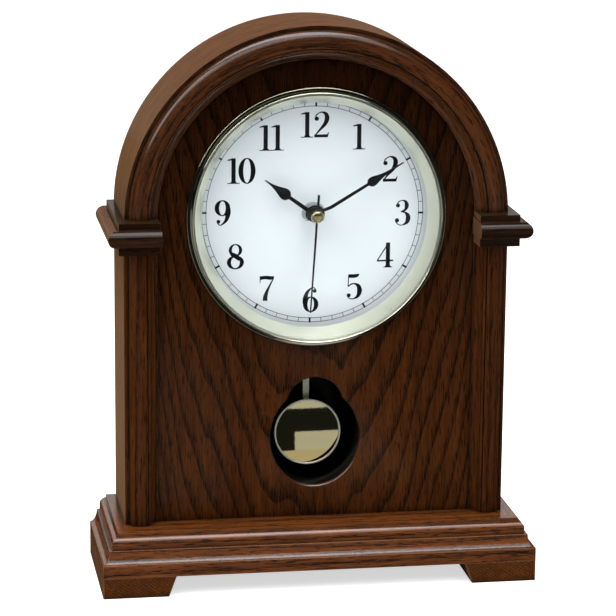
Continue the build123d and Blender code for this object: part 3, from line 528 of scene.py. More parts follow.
# Metals, paint, glass and plastic
def metal(name, colour, roughness, scale, mirror=1.0):
    """Polished or brushed metal with faint wiping marks and uneven polish."""
    shader = Shader(name)
    x, y, z = shader.place()
    wiped = shader.vector(x, shader.math("MULTIPLY", y, WIPE_STRETCH), z)
    marks = shader.noise(wiped, scale, FINE_DETAIL)
    smooth, rough = scaled(METAL_UNEVEN, roughness)
    shader.finish(
        Base_Color=shader.between(shader.cloud(METAL_CLOUD), (colour, scaled(colour, METAL_DEEP))),
        Metallic=mirror,
        Roughness=shader.range(marks, *NOISE_REACH, smooth, rough),
        Normal=shader.bump(marks, METAL_RELIEF, METAL_BUMP),
    )
    return shader.material


def satin(name, colours, roughness, scale, relief, specular=0.5):
    """Paint, ink or moulded plastic with a fine texture."""
    shader = Shader(name)
    grain = shader.cloud(scale, FINE_DETAIL)
    smooth, rough = scaled(SATIN_UNEVEN, roughness)
    shader.finish(
        Base_Color=shader.between(shader.cloud(scale / SATIN_COARSER), colours),
        Roughness=shader.range(grain, *NOISE_REACH, smooth, rough),
        Normal=shader.bump(grain, relief, SATIN_BUMP),
        Specular_IOR_Level=specular,
    )
    return shader.material


def clear_glass(name):
    """Glass that lets light through to the dial, with a faint smear of polish in its gloss."""
    shader = Shader(name)
    smear = shader.cloud(SMEAR_SCALE, FINE_DETAIL)
    shader.finish(
        Base_Color=rgba(GLASS_TINT),
        Roughness=shader.range(smear, *SMEAR_RANGE, 0.0, SMEAR_ROUGHNESS),
        Transmission_Weight=1.0,
        IOR=GLASS_IOR,
    )
    path = shader.add("LightPath").outputs
    passing = shader.math("MAXIMUM", path["Is Shadow Ray"], path["Is Diffuse Ray"])
    through = shader.add("BsdfTransparent", {"Color": rgba(GLASS_TINT)})
    both = shader.add("MixShader", {0: passing, 1: shader.surface.outputs[0], 2: through.outputs[0]})
    shader.join(shader.tree.nodes["Material Output"].inputs["Surface"], both.outputs[0])
    return shader.material


def dial_finish(name):
    """White paint on the front of a sheet whose back is bare aluminium."""
    shader = Shader(name)
    x, y, z = shader.place()
    brush = shader.vector(shader.math("MULTIPLY", x, DIAL_BRUSH_STRETCH), y, z)
    bare = shader.math("GREATER_THAN", y, DIAL_FRONT + DIAL_SKIN)
    paint = shader.between(shader.cloud(DIAL_CLOUD), DIAL_WHITE)
    sheet = shader.between(shader.noise(brush, DIAL_BRUSH, FINE_DETAIL), DIAL_SHEET)
    shader.finish(
        Base_Color=shader.mix(bare, paint, sheet),
        Metallic=shader.math("MULTIPLY", bare, DIAL_MIRROR),
        Roughness=DIAL_ROUGHNESS,
    )
    return shader.material


def cell_jacket(name):
    """Battery: black jacket, copper band at the plus end and bare steel ends."""
    shader = Shader(name)
    x, _, _ = shader.place()
    cloud = shader.cloud(CELL_CLOUD)
    band = shader.math("GREATER_THAN", x, CELL_BAND)
    ends = shader.math("GREATER_THAN", shader.math("ABSOLUTE", x), CELL_END)
    banded = shader.mix(band, shader.between(cloud, CELL_BLACK), rgba(CELL_COPPER))
    shader.finish(
        Base_Color=shader.mix(ends, banded, rgba(CELL_STEEL)),
        Metallic=shader.math("MAXIMUM", shader.math("MULTIPLY", band, CELL_MIRROR), ends),
        Roughness=shader.range(cloud, *NOISE_REACH, *CELL_ROUGHNESS),
    )
    return shader.material


def winding(name, colour):
    """Fine enamelled wire, turn beside turn."""
    shader = Shader(name)
    x, y, _ = shader.place()
    turns = shader.math("MULTIPLY", shader.math("ADD", x, y), 2 * math.pi / WIRE_PITCH)
    shader.finish(
        Base_Color=shader.between(shader.cloud(WIRE_CLOUD), (colour, scaled(colour, WIRE_DEEP))),
        Metallic=WIRE_MIRROR,
        Roughness=WIRE_ROUGHNESS,
        Normal=shader.bump(shader.math("SINE", turns), WIRE_RELIEF, WIRE_BUMP),
    )
    return shader.material


# Helpers for pieces
def pair(name):
    """Left and right nodes of a piece that comes in twos."""
    return f"left_{name}", f"right_{name}"


def dress(material, *names):
    """Give a finish to CAD nodes."""
    for name in names:
        mesh = nodes[name].data
        mesh.materials.clear()
        mesh.materials.append(material)


def ease_edges(width, finish, *names):
    """Round the sharp edges of wooden CAD nodes a little, with a lighter finish of their own: wear and
    painted highlight.
    """
    for name in names:
        nodes[name].data.materials.append(finish)
        weld = nodes[name].modifiers.new("weld", "WELD")
        weld.merge_threshold = EASE_WELD
        bevel = nodes[name].modifiers.new("ease", "BEVEL")
        bevel.width = width
        bevel.segments = EASE_SEGMENTS
        bevel.limit_method = "ANGLE"
        bevel.angle_limit = EASE_ANGLE
        bevel.material = WEAR_AND_HIGHLIGHT_SLOT
        normals = nodes[name].modifiers.new("normals", "WEIGHTED_NORMAL")
        normals.weight = EASE_WEIGHT


def add_piece(name, shape, material, body):
    """New piece of the clock that moves with a CAD body."""
    mesh = bpy.data.meshes.new(name)
    shape.to_mesh(mesh)
    shape.free()
    mesh.materials.append(material)
    piece = bpy.data.objects.new(name, mesh)
    bpy.context.scene.collection.objects.link(piece)
    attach(piece, body)
    return piece


# Finishes of the case
base_grain = mitred_grain(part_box("base_plinth")[1].x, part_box("base_plinth")[0].y)
impost_grain = mitred_grain(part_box("right_impost")[1].x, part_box("right_impost")[0].y)
wear_and_highlight_wood = wood(
    "wood_edge_wear_and_highlight", upright_grain, WEAR_AND_HIGHLIGHT_STAIN,
    seed=8.3, ring_pitch=4.0 * MM, band=0.3, lacquer=0.3, sheen=0.1,
)
upright_wood = wood(
    "wood_upright", upright_grain, CASE_STAIN,
    seed=1.13, ring_pitch=4.2 * MM, band=0.8, lacquer=0.10, sheen=0.02,
)
side_wood = wood(
    "wood_sides", upright_grain, SIDE_STAIN,
    seed=2.71, ring_pitch=8.0 * MM, band=0.4, lacquer=0.05, sheen=0.13,
)
base_wood = wood(
    "wood_base", base_grain, BASE_STAIN,
    seed=3.31, ring_pitch=7.0 * MM, band=0.75, lacquer=0.75, sheen=0.02, gloss=0.22,
)
foot_wood = wood(
    "wood_feet", end_grain, SIDE_STAIN,
    seed=5.23, ring_pitch=1.7 * MM, band=0.8, lacquer=0.15, sheen=0.05,
)
back_wood = wood(
    "wood_back", upright_grain, BACK_STAIN,
    seed=7.9, ring_pitch=8.0 * MM, band=0.8, lacquer=0.05, sheen=0.05, shade=back_shade,
)
dress(upright_wood, *pair("pilaster"))
dress(side_wood, *pair("side_board"))
dress(base_wood, "base_plinth", "base_top_board")
dress(foot_wood, *pair("foot"))
dress(back_wood, "back_board", "back_door")


def dress_arch():
    """Arch roof and its moulding, whose outermost faces belong to the roof's curve."""
    moulding_wood = wood(
        "wood_moulding", arch_grain, ARCH_STAIN,
        seed=6.07, ring_pitch=6.0 * MM, band=0.7, lacquer=0.65, sheen=0.02, gloss=0.20,
    )
    roof_wood = wood(
        "wood_roof", arch_grain, SIDE_STAIN,
        seed=6.91, ring_pitch=9.0 * MM, band=0.35, lacquer=0.05, sheen=0.09,
    )
    dress(roof_wood, "arch_roof")
    dress(moulding_wood, "arch_moulding")
    mesh = nodes["arch_moulding"].data
    mesh.materials.append(roof_wood)
    for polygon in mesh.polygons:
        reach = math.hypot(polygon.center.x, polygon.center.z - ARCH_CENTRE)
        polygon.material_index = int(reach > ARCH_RADIUS - ROOF_SKIN)


def dress_panel():
    """Front panel, with more lacquer on the rounded lip of its window."""
    look = {"seed": 0.37, "ring_pitch": 8.8 * MM, "band": 0.9, "sheen": 0.0, "shade": panel_shade}
    dress(wood("wood_panel", cathedral_grain, CASE_STAIN, lacquer=0.2, **look), "front_panel")
    mesh = nodes["front_panel"].data
    lip_wood = wood("wood_panel_edge", cathedral_grain, CASE_STAIN, lacquer=1.0, gloss=0.25, **look)
    mesh.materials.append(lip_wood)
    flattest, steepest = PANEL_LIP_FACING
    for polygon in mesh.polygons:
        polygon.material_index = int(flattest < polygon.normal.y < steepest)


def dress_imposts():
    """Dark imposts with eased edges, whose sides take the lighter stain of the side boards as painted
    light, as if lit from the side.
    """
    front_wood = wood(
        "wood_imposts", impost_grain, IMPOST_STAIN,
        seed=4.17, ring_pitch=5.0 * MM, band=0.6, lacquer=0.3, sheen=0.04, gloss=0.16,
    )
    lit_flank_wood = wood(
        "wood_impost_lit_sides", impost_grain, SIDE_STAIN,
        seed=4.6, ring_pitch=5.0 * MM, band=0.5, lacquer=0.1, sheen=0.1,
    )
    dress(front_wood, *pair("impost"))
    ease_edges(BOARD_EASE, wear_and_highlight_wood, *pair("impost"))
    for name in pair("impost"):
        mesh = nodes[name].data
        mesh.materials.append(lit_flank_wood)
        for polygon in mesh.polygons:
            # Sideways faces take the lighter stain: painted light on the sides of the imposts
            if abs(polygon.normal.x) > abs(polygon.normal.y) + IMPOST_LIT_SIDE_FACING:
                polygon.material_index = IMPOST_LIT_SIDE_SLOT


dress_arch()
dress_panel()
dress_imposts()
ease_edges(BOARD_EASE, wear_and_highlight_wood, "base_plinth", "base_top_board", *pair("foot"), *pair("side_board"))
ease_edges(BOARD_EASE, wear_and_highlight_wood, "back_board", "back_door")
ease_edges(PILASTER_EASE, wear_and_highlight_wood, *pair("pilaster"))

# Finishes of the dial, the hands and the pendulum
bezel_gilt = metal("gilt_bezel", CHAMPAGNE, roughness=0.05, scale=POLISH_SCALE)
cone_gilt = metal("gilt_cone", CHAMPAGNE, roughness=0.34, scale=POLISH_SCALE)
mirror_gilt = metal("gilt_mirror", GILT, roughness=0.02, scale=POLISH_SCALE)
rim_gilt = metal("gilt_rim", RIM_GILT, roughness=0.20, scale=POLISH_SCALE, mirror=SATIN_MIRROR)
cap_gilt = metal("gilt", GILT, roughness=0.10, scale=POLISH_SCALE)
strip_gilt = metal("gilt_strip", STRIP_GILT, roughness=0.30, scale=2500.0, mirror=SATIN_MIRROR)
ink = satin("dial_ink", INK_BLACK, roughness=0.5, scale=4000.0, relief=0.003 * MM, specular=0.1)
hand_paint = satin("hand_black", HAND_BLACK, roughness=0.4, scale=4000.0, relief=0.004 * MM, specular=0.2)
nickel = satin("nickel", NICKEL, roughness=0.45, scale=2500.0, relief=0.010 * MM)
dress(cap_gilt, "hand_cap")
dress(strip_gilt, "pendulum_rod")
dress(hand_paint, "hour_hand", "minute_hand", "second_hand")
dress(nickel, "dial_washer", "centre_nut")
dress(clear_glass("clear_glass"), "dial_glass")
dress(dial_finish("dial_paint"), "dial_plate")

# Finishes of the movement, the pendulum's drive and the back's metalwork
brass = metal("brass", BRASS, roughness=0.28, scale=1500.0)
steel = metal("steel", STEEL, roughness=0.30, scale=2000.0)
black_plastic = satin("black_plastic", BLACK_PLASTIC, roughness=0.5, scale=3000.0, relief=0.020 * MM)
white_plastic = satin("white_plastic", WHITE_PLASTIC, roughness=0.42, scale=3000.0, relief=0.010 * MM)
board_green = satin("board_green", BOARD_GREEN, roughness=0.35, scale=5000.0, relief=0.020 * MM)
dress(brass, *(f"{hinge}_hinge_{part}" for hinge in HINGES for part in HINGE_PARTS))
dress(steel, "positive_contact", "negative_contact", "second_arbor")
dress(steel, "pivot_pin", "drive_magnet", "catch_plate")
dress(black_plastic, "movement_case", "movement_cover")
dress(black_plastic, "pendulum_drive_case", "pendulum_hanger", "catch_magnet")
dress(white_plastic, "hour_wheel", "minute_arbor", "motion_wheel", "third_wheel", "setting_knob")
dress(board_green, "circuit_board")
dress(cell_jacket("battery_jacket"), "battery")
dress(winding("copper_wire", WIRE_COPPER), "motor_coil", "drive_coil")


# Pen strokes and patches that make up the digits
def smooth_line(points):
    """Smooth curve through (x, y, width) points."""
    points = [Vector(point) for point in points]
    ends = [2 * points[0] - points[1], *points, 2 * points[-1] - points[-2]]
    line = []
    for first, start, end, last in zip(ends, ends[1:], ends[2:], ends[3:]):
        for step in range(PEN_STEPS):
            t = step / PEN_STEPS
            pull = (end - first) * t + (2 * first - 5 * start + 4 * end - last) * t**2
            line.append(start + (pull + (3 * start - first - 3 * end + last) * t**3) / 2)
    return line + [points[-1]]


def strip(left, right):
    """Four-cornered patches between two lines."""
    rows = list(zip(left, right))
    return [(a, b, d, c) for (a, b), (c, d) in zip(rows, rows[1:])]


def pen(*points):
    """Patches of a pen stroke whose width changes along it."""
    line = smooth_line(points)
    left = []
    right = []
    for number, point in enumerate(line):
        before = line[max(number - 1, 0)]
        after = line[min(number + 1, len(line) - 1)]
        along = (after - before).to_2d().normalized()
        half = Vector((-along.y, along.x)) * max(point.z * PEN_WEIGHT, PEN_FINEST) / 2
        left.append(point.to_2d() + half)
        right.append(point.to_2d() - half)
    return strip(left, right)


def oval(x, y, half_width, half_height):
    turns = [2 * math.pi * step / OVAL_STEPS for step in range(OVAL_STEPS + 1)]
    return [Vector((x + half_width * math.sin(t), y + half_height * math.cos(t))) for t in turns]


def ring(x, y, outer, inner):
    return strip(oval(x, y, *outer), oval(x, y, *inner))


def ball(x, y, radius):
    return [tuple(oval(x, y, radius, radius)[:-1])]


def patch(*corners):
    return [tuple(Vector(corner) for corner in corners)]


def bar(left, right, bottom, top):
    return patch((left, bottom), (right, bottom), (right, top), (left, top))


def stem(x, half_foot):
    """Thick upright on a flat serif with brackets."""
    left = x - STEM_HALF
    right = x + STEM_HALF
    upright = bar(left, right, BRACKET_LOW, 1.0)
    serif = bar(x - half_foot, x + half_foot, 0, SERIF_HEIGHT)
    bracket_foot = ((left - BRACKET_REACH, BRACKET_LOW), (right + BRACKET_REACH, BRACKET_LOW))
    return upright + serif + patch(*bracket_foot, (right, BRACKET_HIGH), (left, BRACKET_HIGH))


# Digits
def digit_0():
    return ring(0, 0.5, (0.335, 0.51), (0.145, 0.470))


def digit_1():
    flag = pen((-0.25, 0.925, 0.03), (-0.1, 0.95, 0.06), (0, 0.985, 0.03))
    return stem(0, 0.24) + flag


def digit_2():
    top = [(-0.235, 0.76, 0.03), (-0.2, 0.88, 0.04), (-0.02, 0.985, 0.04), (0.16, 0.92, 0.12)]
    tail = [(0.215, 0.745, 0.165), (0.13, 0.52, 0.13), (-0.08, 0.28, 0.07), (-0.255, 0.07, 0.04)]
    base = bar(-0.285, 0.25, 0, 0.115)
    tip = patch((0.23, 0), (0.25, 0), (0.30, 0.20), (0.27, 0.20), (0.22, 0.115))
    return ball(-0.19, 0.735, 0.085) + pen(*top, *tail) + base + tip


def digit_3():
    upper = [(-0.22, 0.80, 0.03), (-0.15, 0.93, 0.04), (0, 0.985, 0.035), (0.13, 0.93, 0.10)]
    waist = [(0.175, 0.78, 0.15), (0.12, 0.62, 0.09), (-0.04, 0.54, 0.035)]
    bowl = [(-0.06, 0.535, 0.035), (0.1, 0.51, 0.06), (0.215, 0.40, 0.14), (0.235, 0.27, 0.17)]
    tail = [(0.19, 0.12, 0.13), (0.05, 0.02, 0.045), (-0.1, 0.01, 0.035)]
    hook = [(-0.22, 0.09, 0.035), (-0.265, 0.2, 0.03)]
    ends = ball(-0.175, 0.79, 0.08) + ball(-0.205, 0.195, 0.085)
    return ends + pen(*upper, *waist) + pen(*bowl, *tail, *hook)


def digit_4():
    slope = pen((0.13, 0.99, 0.04), (-0.31, 0.30, 0.04))
    return stem(0.105, 0.175) + slope + bar(-0.33, 0.32, 0.245, 0.31)


def digit_5():
    flag = pen((-0.19, 0.93, 0.13), (0, 0.92, 0.13), (0.14, 0.945, 0.11), (0.22, 1.0, 0.03))
    upright = pen((-0.195, 0.98, 0.035), (-0.215, 0.5, 0.035))
    shoulder = [(-0.215, 0.5, 0.03), (-0.1, 0.59, 0.05), (0.03, 0.615, 0.05)]
    bowl = [(0.19, 0.53, 0.13), (0.245, 0.33, 0.175), (0.18, 0.12, 0.12)]
    tail = [(0.02, 0.015, 0.045), (-0.14, 0.02, 0.035), (-0.235, 0.1, 0.03)]
    return flag + upright + pen(*shoulder, *bowl, *tail) + ball(-0.185, 0.15, 0.08)


def digit_6():
    bowl = ring(0.02, 0.31, (0.305, 0.315), (0.128, 0.272))
    back = [(-0.205, 0.33, 0.17), (-0.20, 0.55, 0.17), (-0.12, 0.80, 0.11), (0.05, 0.965, 0.045)]
    hook = [(0.16, 0.965, 0.035), (0.22, 0.88, 0.03)]
    return bowl + pen(*back, *hook) + ball(0.175, 0.845, 0.075)


def digit_7():
    top = pen((-0.25, 0.915, 0.13), (-0.05, 0.935, 0.12), (0.15, 0.91, 0.13), (0.28, 0.96, 0.05))
    serif = pen((-0.265, 0.99, 0.03), (-0.27, 0.72, 0.03))
    slope = [(0.265, 0.9, 0.04), (0.12, 0.62, 0.06), (0, 0.36, 0.11)]
    foot = [(-0.06, 0.15, 0.155), (-0.065, 0, 0.165)]
    return top + serif + pen(*slope, *foot)


def digit_8():
    upper = ring(0, 0.755, (0.265, 0.25), (0.138, 0.203))
    lower = ring(0, 0.27, (0.335, 0.275), (0.172, 0.222))
    return upper + lower + pen((-0.17, 0.62, 0.13), (0.02, 0.51, 0.16), (0.18, 0.38, 0.13))


def digit_9():
    """The six, turned upside down."""
    return [tuple(Vector((-point.x, 1 - point.y)) for point in face) for face in digit_6()]


# Digits of each hour, and how far each stands to the side
HOUR_DIGITS = {
    1: ((digit_1, 0),),
    2: ((digit_2, 0),),
    3: ((digit_3, 0),),
    4: ((digit_4, 0),),
    5: ((digit_5, 0),),
    6: ((digit_6, 0),),
    7: ((digit_7, 0),),
    8: ((digit_8, 0),),
    9: ((digit_9, 0),),
    10: ((digit_1, -0.30), (digit_0, 0.225)),
    11: ((digit_1, -0.235), (digit_1, 0.235)),
    12: ((digit_1, -0.325), (digit_2, 0.235)),
}


# Dial print
def outward(turn):
    """Direction from the dial's centre at a clockwise turn from the top."""
    return Vector((math.sin(turn), math.cos(turn)))


def circle(radius):
    return [outward(2 * math.pi * step / TRACK_STEPS) * radius for step in range(TRACK_STEPS + 1)]


def counter_clockwise(face):
    area = sum(a.x * b.y - b.x * a.y for a, b in zip(face, face[1:] + face[:1]))
    return face if area > 0 else face[::-1]


def print_on_dial(name, faces):
    """One flat inked shape on the dial, from overlapping patches in the dial's plane."""
    points = []
    outlines = []
    for face in faces:
        outlines.append(list(range(len(points), len(points) + len(face))))
        points.extend(counter_clockwise(tuple(face)))
    flat, _, triangles, _, _, sources = delaunay_2d_cdt(points, [], outlines, 0, INK_MERGE)
    shape = bmesh.new()
    corners = [shape.verts.new((p.x, DIAL_FRONT, DIAL_CENTRE + p.y)) for p in flat]
    for triangle, source in zip(triangles, sources):
        if source:
            shape.faces.new([corners[index] for index in triangle])
    loose = [corner for corner in shape.verts if not corner.link_faces]
    bmesh.ops.delete(shape, geom=loose, context="VERTS")
    raised = bmesh.ops.extrude_face_region(shape, geom=shape.faces[:])["geom"]
    raised = [part for part in raised if isinstance(part, bmesh.types.BMVert)]
    bmesh.ops.translate(shape, vec=(0, -INK_THICKNESS, 0), verts=raised)
    bmesh.ops.recalc_face_normals(shape, faces=shape.faces[:])
    return add_piece(name, shape, ink, "case")


def print_numerals():
    for hour, digits in HOUR_DIGITS.items():
        turn = math.radians(HOUR_DEGREES * hour) + PRINT_TURN
        middle = outward(turn) * (NUMERAL_RADIUS - NUMERAL_INSET.get(hour, 0))
        faces = []
        for digit, shift in digits:
            for face in digit():
                faces.append(tuple(middle + (p + Vector((shift, -0.5))) * NUMERAL_HEIGHT for p in face))
        print_on_dial(f"numeral_{hour}", faces)


def print_track():
    faces = []
    for radius in (TRACK_INNER, TRACK_OUTER):
        outer = circle(radius + TRACK_LINE / 2)
        faces += strip(outer, circle(radius - TRACK_LINE / 2))
    middle = (TRACK_INNER + TRACK_OUTER) / 2
    for minute in range(MINUTES):
        width, length = MINUTE_TICK if minute % NUMERAL_MINUTES else HOUR_TICK
        out = outward(math.radians(MINUTE_DEGREES * minute) + PRINT_TURN)
        side = Vector((out.y, -out.x)) * width / 2
        low = out * (middle - length / 2)
        high = out * (middle + length / 2)
        faces.append((low - side, low + side, high + side, high - side))
    print_on_dial("minute_track", faces)


# Turned pieces
def turned_row(shape, radius, depth, centre, steps):
    """Ring of corners at a radius, or one corner on the axis."""
    turns = [2 * math.pi * step / steps for step in range(steps if radius else 1)]
    return [shape.verts.new((radius * math.sin(t), depth, centre + radius * math.cos(t))) for t in turns]


def lathe(profile, centre, steps):
    """Turned shape about an axis that runs to the back, from (radius, depth) points."""
    shape = bmesh.new()
    rows = [turned_row(shape, radius, depth, centre, steps) for radius, depth in profile]
    for first, second in zip(rows, rows[1:]):
        for step in range(steps):
            outline = ((first, step), (first, step + 1), (second, step + 1), (second, step))
            corners = [row[number % len(row)] for row, number in outline]
            shape.faces.new(dict.fromkeys(corners))
    bmesh.ops.recalc_face_normals(shape, faces=shape.faces[:])
    for face in shape.faces:
        face.smooth = True
    return shape


def reach_from(centre, place):
    """Distance of a place from a level axis at a height."""
    return math.hypot(place.x, place.z - centre)


# Pendulum bob: a shallow stamped mirror with a rolled rim, open at the back
def bob_profile(radius, face_radius, rim_foot, face_edge, rear):
    """Half section from the middle of the mirror over the rim to the hollow back."""
    shares = [step / ROUND_STEPS for step in range(ROUND_STEPS + 1)]
    face = [(face_radius * share, face_edge - BOB_DOME * (1 - share**2)) for share in shares]
    rim = []
    for share in shares:
        turn = math.pi * share
        inward = BOB_RIM / 2 * (1 + math.cos(turn))
        rim.append((radius - inward, rim_foot - math.sin(turn) * BOB_RIM_HEIGHT))
    inner = face_radius - BOB_INSET
    floor = face_edge + BOB_WALL
    return [*face, *rim, (radius, rear), (inner, rear), (inner, floor), (0, floor)]


def make_bob():
    """Mirror that leans back a little inside a rolled rim."""
    low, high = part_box("pendulum_bob")
    centre = (low.z + high.z) / 2
    radius = (high.z - low.z) / 2
    face_radius = radius - BOB_RIM
    rim_foot = high.y - BOB_DEPTH + BOB_RIM_HEIGHT
    face_edge = rim_foot + face_radius * BOB_LEAN
    shape = lathe(bob_profile(radius, face_radius, rim_foot, face_edge, high.y), centre, BOB_STEPS)
    for facet in shape.faces:
        middle = facet.calc_center_median()
        on_rim = reach_from(centre, middle) > face_radius and middle.y < rim_foot + NEAR
        facet.material_index = int(on_rim)
    for corner in shape.verts:
        in_front = rim_foot + NEAR < corner.co.y < face_edge + BOB_WALL / 2
        if in_front and reach_from(centre, corner.co) < face_radius + NEAR:
            corner.co.y += (corner.co.z - centre) * BOB_LEAN
    bob = add_piece("bob_mirror", shape, mirror_gilt, "pendulum")
    bob.data.materials.append(rim_gilt)
    bob.data.set_sharp_from_angle(angle=BOB_SHARP)
    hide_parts("pendulum_bob")


# Bezel: beaded flange, polished wall and crest, satin cone down to the dial
def arc(radius, depth, size, start, end):
    """Round stretch of a turned profile, from outward (0) over the front."""
    turns = [start + (end - start) * step / ROUND_STEPS for step in range(ROUND_STEPS + 1)]
    return [(radius + size * math.cos(turn), depth - size * math.sin(turn)) for turn in turns]


def make_bezel():
    low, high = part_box("bezel")
    flange = PANEL_FRONT - FLANGE_HEIGHT
    bead = arc(high.x - BEZEL_BEAD, flange, BEZEL_BEAD, 0, math.pi)
    crest = arc(CREST_RADIUS, low.y + CREST_ROUND, CREST_ROUND, WALL_SLOPE, CONE_SLOPE)
    lip = [(LIP_RADIUS, PANEL_FRONT + LIP_DEPTH), (LIP_RADIUS + BEZEL_SHEET, PANEL_FRONT + LIP_DEPTH)]
    back = [(CREST_RADIUS - BEZEL_SHEET, PANEL_FRONT), (high.x, PANEL_FRONT)]
    profile = [(high.x, PANEL_FRONT), *bead, (WALL_FOOT, flange), *crest, *lip, *back]
    shape = lathe(profile, DIAL_CENTRE, BEZEL_STEPS)
    bmesh.ops.remove_doubles(shape, verts=shape.verts[:], dist=BEZEL_MERGE)
    bmesh.ops.recalc_face_normals(shape, faces=shape.faces[:])
    for face in shape.faces:
        reach = reach_from(DIAL_CENTRE, face.calc_center_median())
        face.material_index = int(reach < CREST_RADIUS - CREST_ROUND)
    bezel = add_piece("bezel_ring", shape, bezel_gilt, "case")
    bezel.data.materials.append(cone_gilt)
    bezel.data.set_sharp_from_angle(angle=BEZEL_SHARP)
    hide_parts("bezel")


# Hinge screws: domed heads with a slot, two in each leaf
def screw_half(shape, side):
    """Half of a turned dome, on one side of the slot."""
    rows = []
    for lift, share in SCREW_DOME:
        reach = SCREW_RADIUS * share
        start = math.asin(SLOT_HALF / reach)
        turns = [start + (math.pi - 2 * start) * step / SCREW_STEPS for step in range(SCREW_STEPS + 1)]
        row = [(reach * math.cos(t), side * reach * math.sin(t), SCREW_HEIGHT * lift) for t in turns]
        rows.append([shape.verts.new(point) for point in row])
    for first, second in zip(rows, rows[1:]):
        for step in range(SCREW_STEPS):
            shape.faces.new((first[step], first[step + 1], second[step + 1], second[step]))
        shape.faces.new((first[0], second[0], second[-1], first[-1]))
    shape.faces.new(rows[-1])


def slot_floor(shape):
    """Round floor of the slot, between the halves."""
    count = 2 * SCREW_STEPS
    reach = SCREW_RADIUS * SLOT_FLOOR
    level = SCREW_HEIGHT - SLOT_DEPTH
    turns = [2 * math.pi * step / count for step in range(count)]
    shape.faces.new([shape.verts.new((reach * math.cos(t), reach * math.sin(t), level)) for t in turns])


def screw_head(centre, turn):
    """Slotted head that faces the back."""
    shape = bmesh.new()
    for side in (-1, 1):
        screw_half(shape, side)
    slot_floor(shape)
    bmesh.ops.recalc_face_normals(shape, faces=shape.faces[:])
    facing = Matrix.Translation(centre) @ Matrix.Rotation(-math.pi / 2, 4, "X")
    bmesh.ops.transform(shape, matrix=facing @ Matrix.Rotation(turn, 4, "Z"), verts=shape.verts[:])
    return shape


def fit_hinge_screws():
    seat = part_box("back_board")[1].y + LEAF_THICKNESS
    for place in HINGES:
        for leaf, body in (("frame_leaf", "case"), ("door_leaf", "door")):
            low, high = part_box(f"{place}_hinge_{leaf}")
            across = low.x + SCREW_INSET if body == "case" else high.x - SCREW_INSET
            for number, level in enumerate((low.z + SCREW_INSET, high.z - SCREW_INSET)):
                turn = SCREW_TURN + SCREW_TURN_STEP * number
                shape = screw_head(Vector((across, seat, level)), turn)
                add_piece(f"{place}_{leaf}_screw_{number + 1}", shape, brass, body)


print_numerals()
print_track()
make_bob()
make_bezel()
fit_hinge_screws()


# Studio: floor and room
def stage_sheet(name, corners, material):
    """Flat sheet that belongs to the studio, not to the clock."""
    mesh = bpy.data.meshes.new(name)
    mesh.from_pydata(corners, [], [tuple(range(len(corners)))])
    mesh.materials.append(material)
    sheet = bpy.data.objects.new(name, mesh)
    bpy.context.scene.collection.objects.link(sheet)
    return sheet


def flat_sheet(low, high, height):
    (left, front), (right, back) = low, high
    return [(left, front, height), (right, front, height), (right, back, height), (left, back, height)]


def wall_sheet(start, end, top):
    return [(*start, 0), (*end, 0), (*end, top), (*start, top)]


def floor_paper(outline, side=1):
    """Outline laid just above the room's floor, or its mirror image for side -1."""
    return [(side * x, y, 2 * ROOM_FLOOR) for x, y in outline]


def seen_directly(shader):
    """One for rays from the camera, a mirror or glass, and zero for light that falls on surfaces."""
    path = shader.add("LightPath").outputs
    seen = shader.math("MAXIMUM", path["Is Camera Ray"], path["Is Glossy Ray"])
    return shader.math("MAXIMUM", seen, path["Is Transmission Ray"])


def make_floor():
    shader = Shader("floor_white")
    shader.finish(
        Base_Color=shader.between(shader.cloud(FLOOR_SPECK), FLOOR_WHITE),
        Roughness=STAGE_ROUGHNESS,
        Specular_IOR_Level=0.0,
        Emission_Color=rgba(WHITE),
        Emission_Strength=shader.math("MULTIPLY", seen_directly(shader), FLOOR_LIFT),
    )
    corner = (FLOOR_REACH, FLOOR_REACH)
    stage_sheet("floor", flat_sheet(scaled(corner, -1), corner, 0), shader.material)


def room_finish(name, colour):
    shader = Shader(name)
    shader.finish(
        Base_Color=shader.between(shader.cloud(ROOM_CLOUD), (colour, scaled(colour, ROOM_DEEP))),
        Roughness=STAGE_ROUGHNESS,
        Specular_IOR_Level=0.0,
    )
    return shader.material


def room_shell():
    """Floor, top, left wall, front wall and right wall of the room."""
    left_front = (-ROOM_SIDE, ROOM_FRONT)
    right_back = (ROOM_SIDE, ROOM_BACK)
    corners = [(-ROOM_SIDE, ROOM_BACK), left_front, (ROOM_SIDE, ROOM_FRONT), right_back]
    shell = {"room_floor": flat_sheet(left_front, right_back, ROOM_FLOOR)}
    shell["room_top"] = flat_sheet(left_front, right_back, ROOM_TOP)
    for number, (start, end) in enumerate(zip(corners, corners[1:])):
        shell[f"room_wall_{number}"] = wall_sheet(start, end, ROOM_TOP)
    return shell


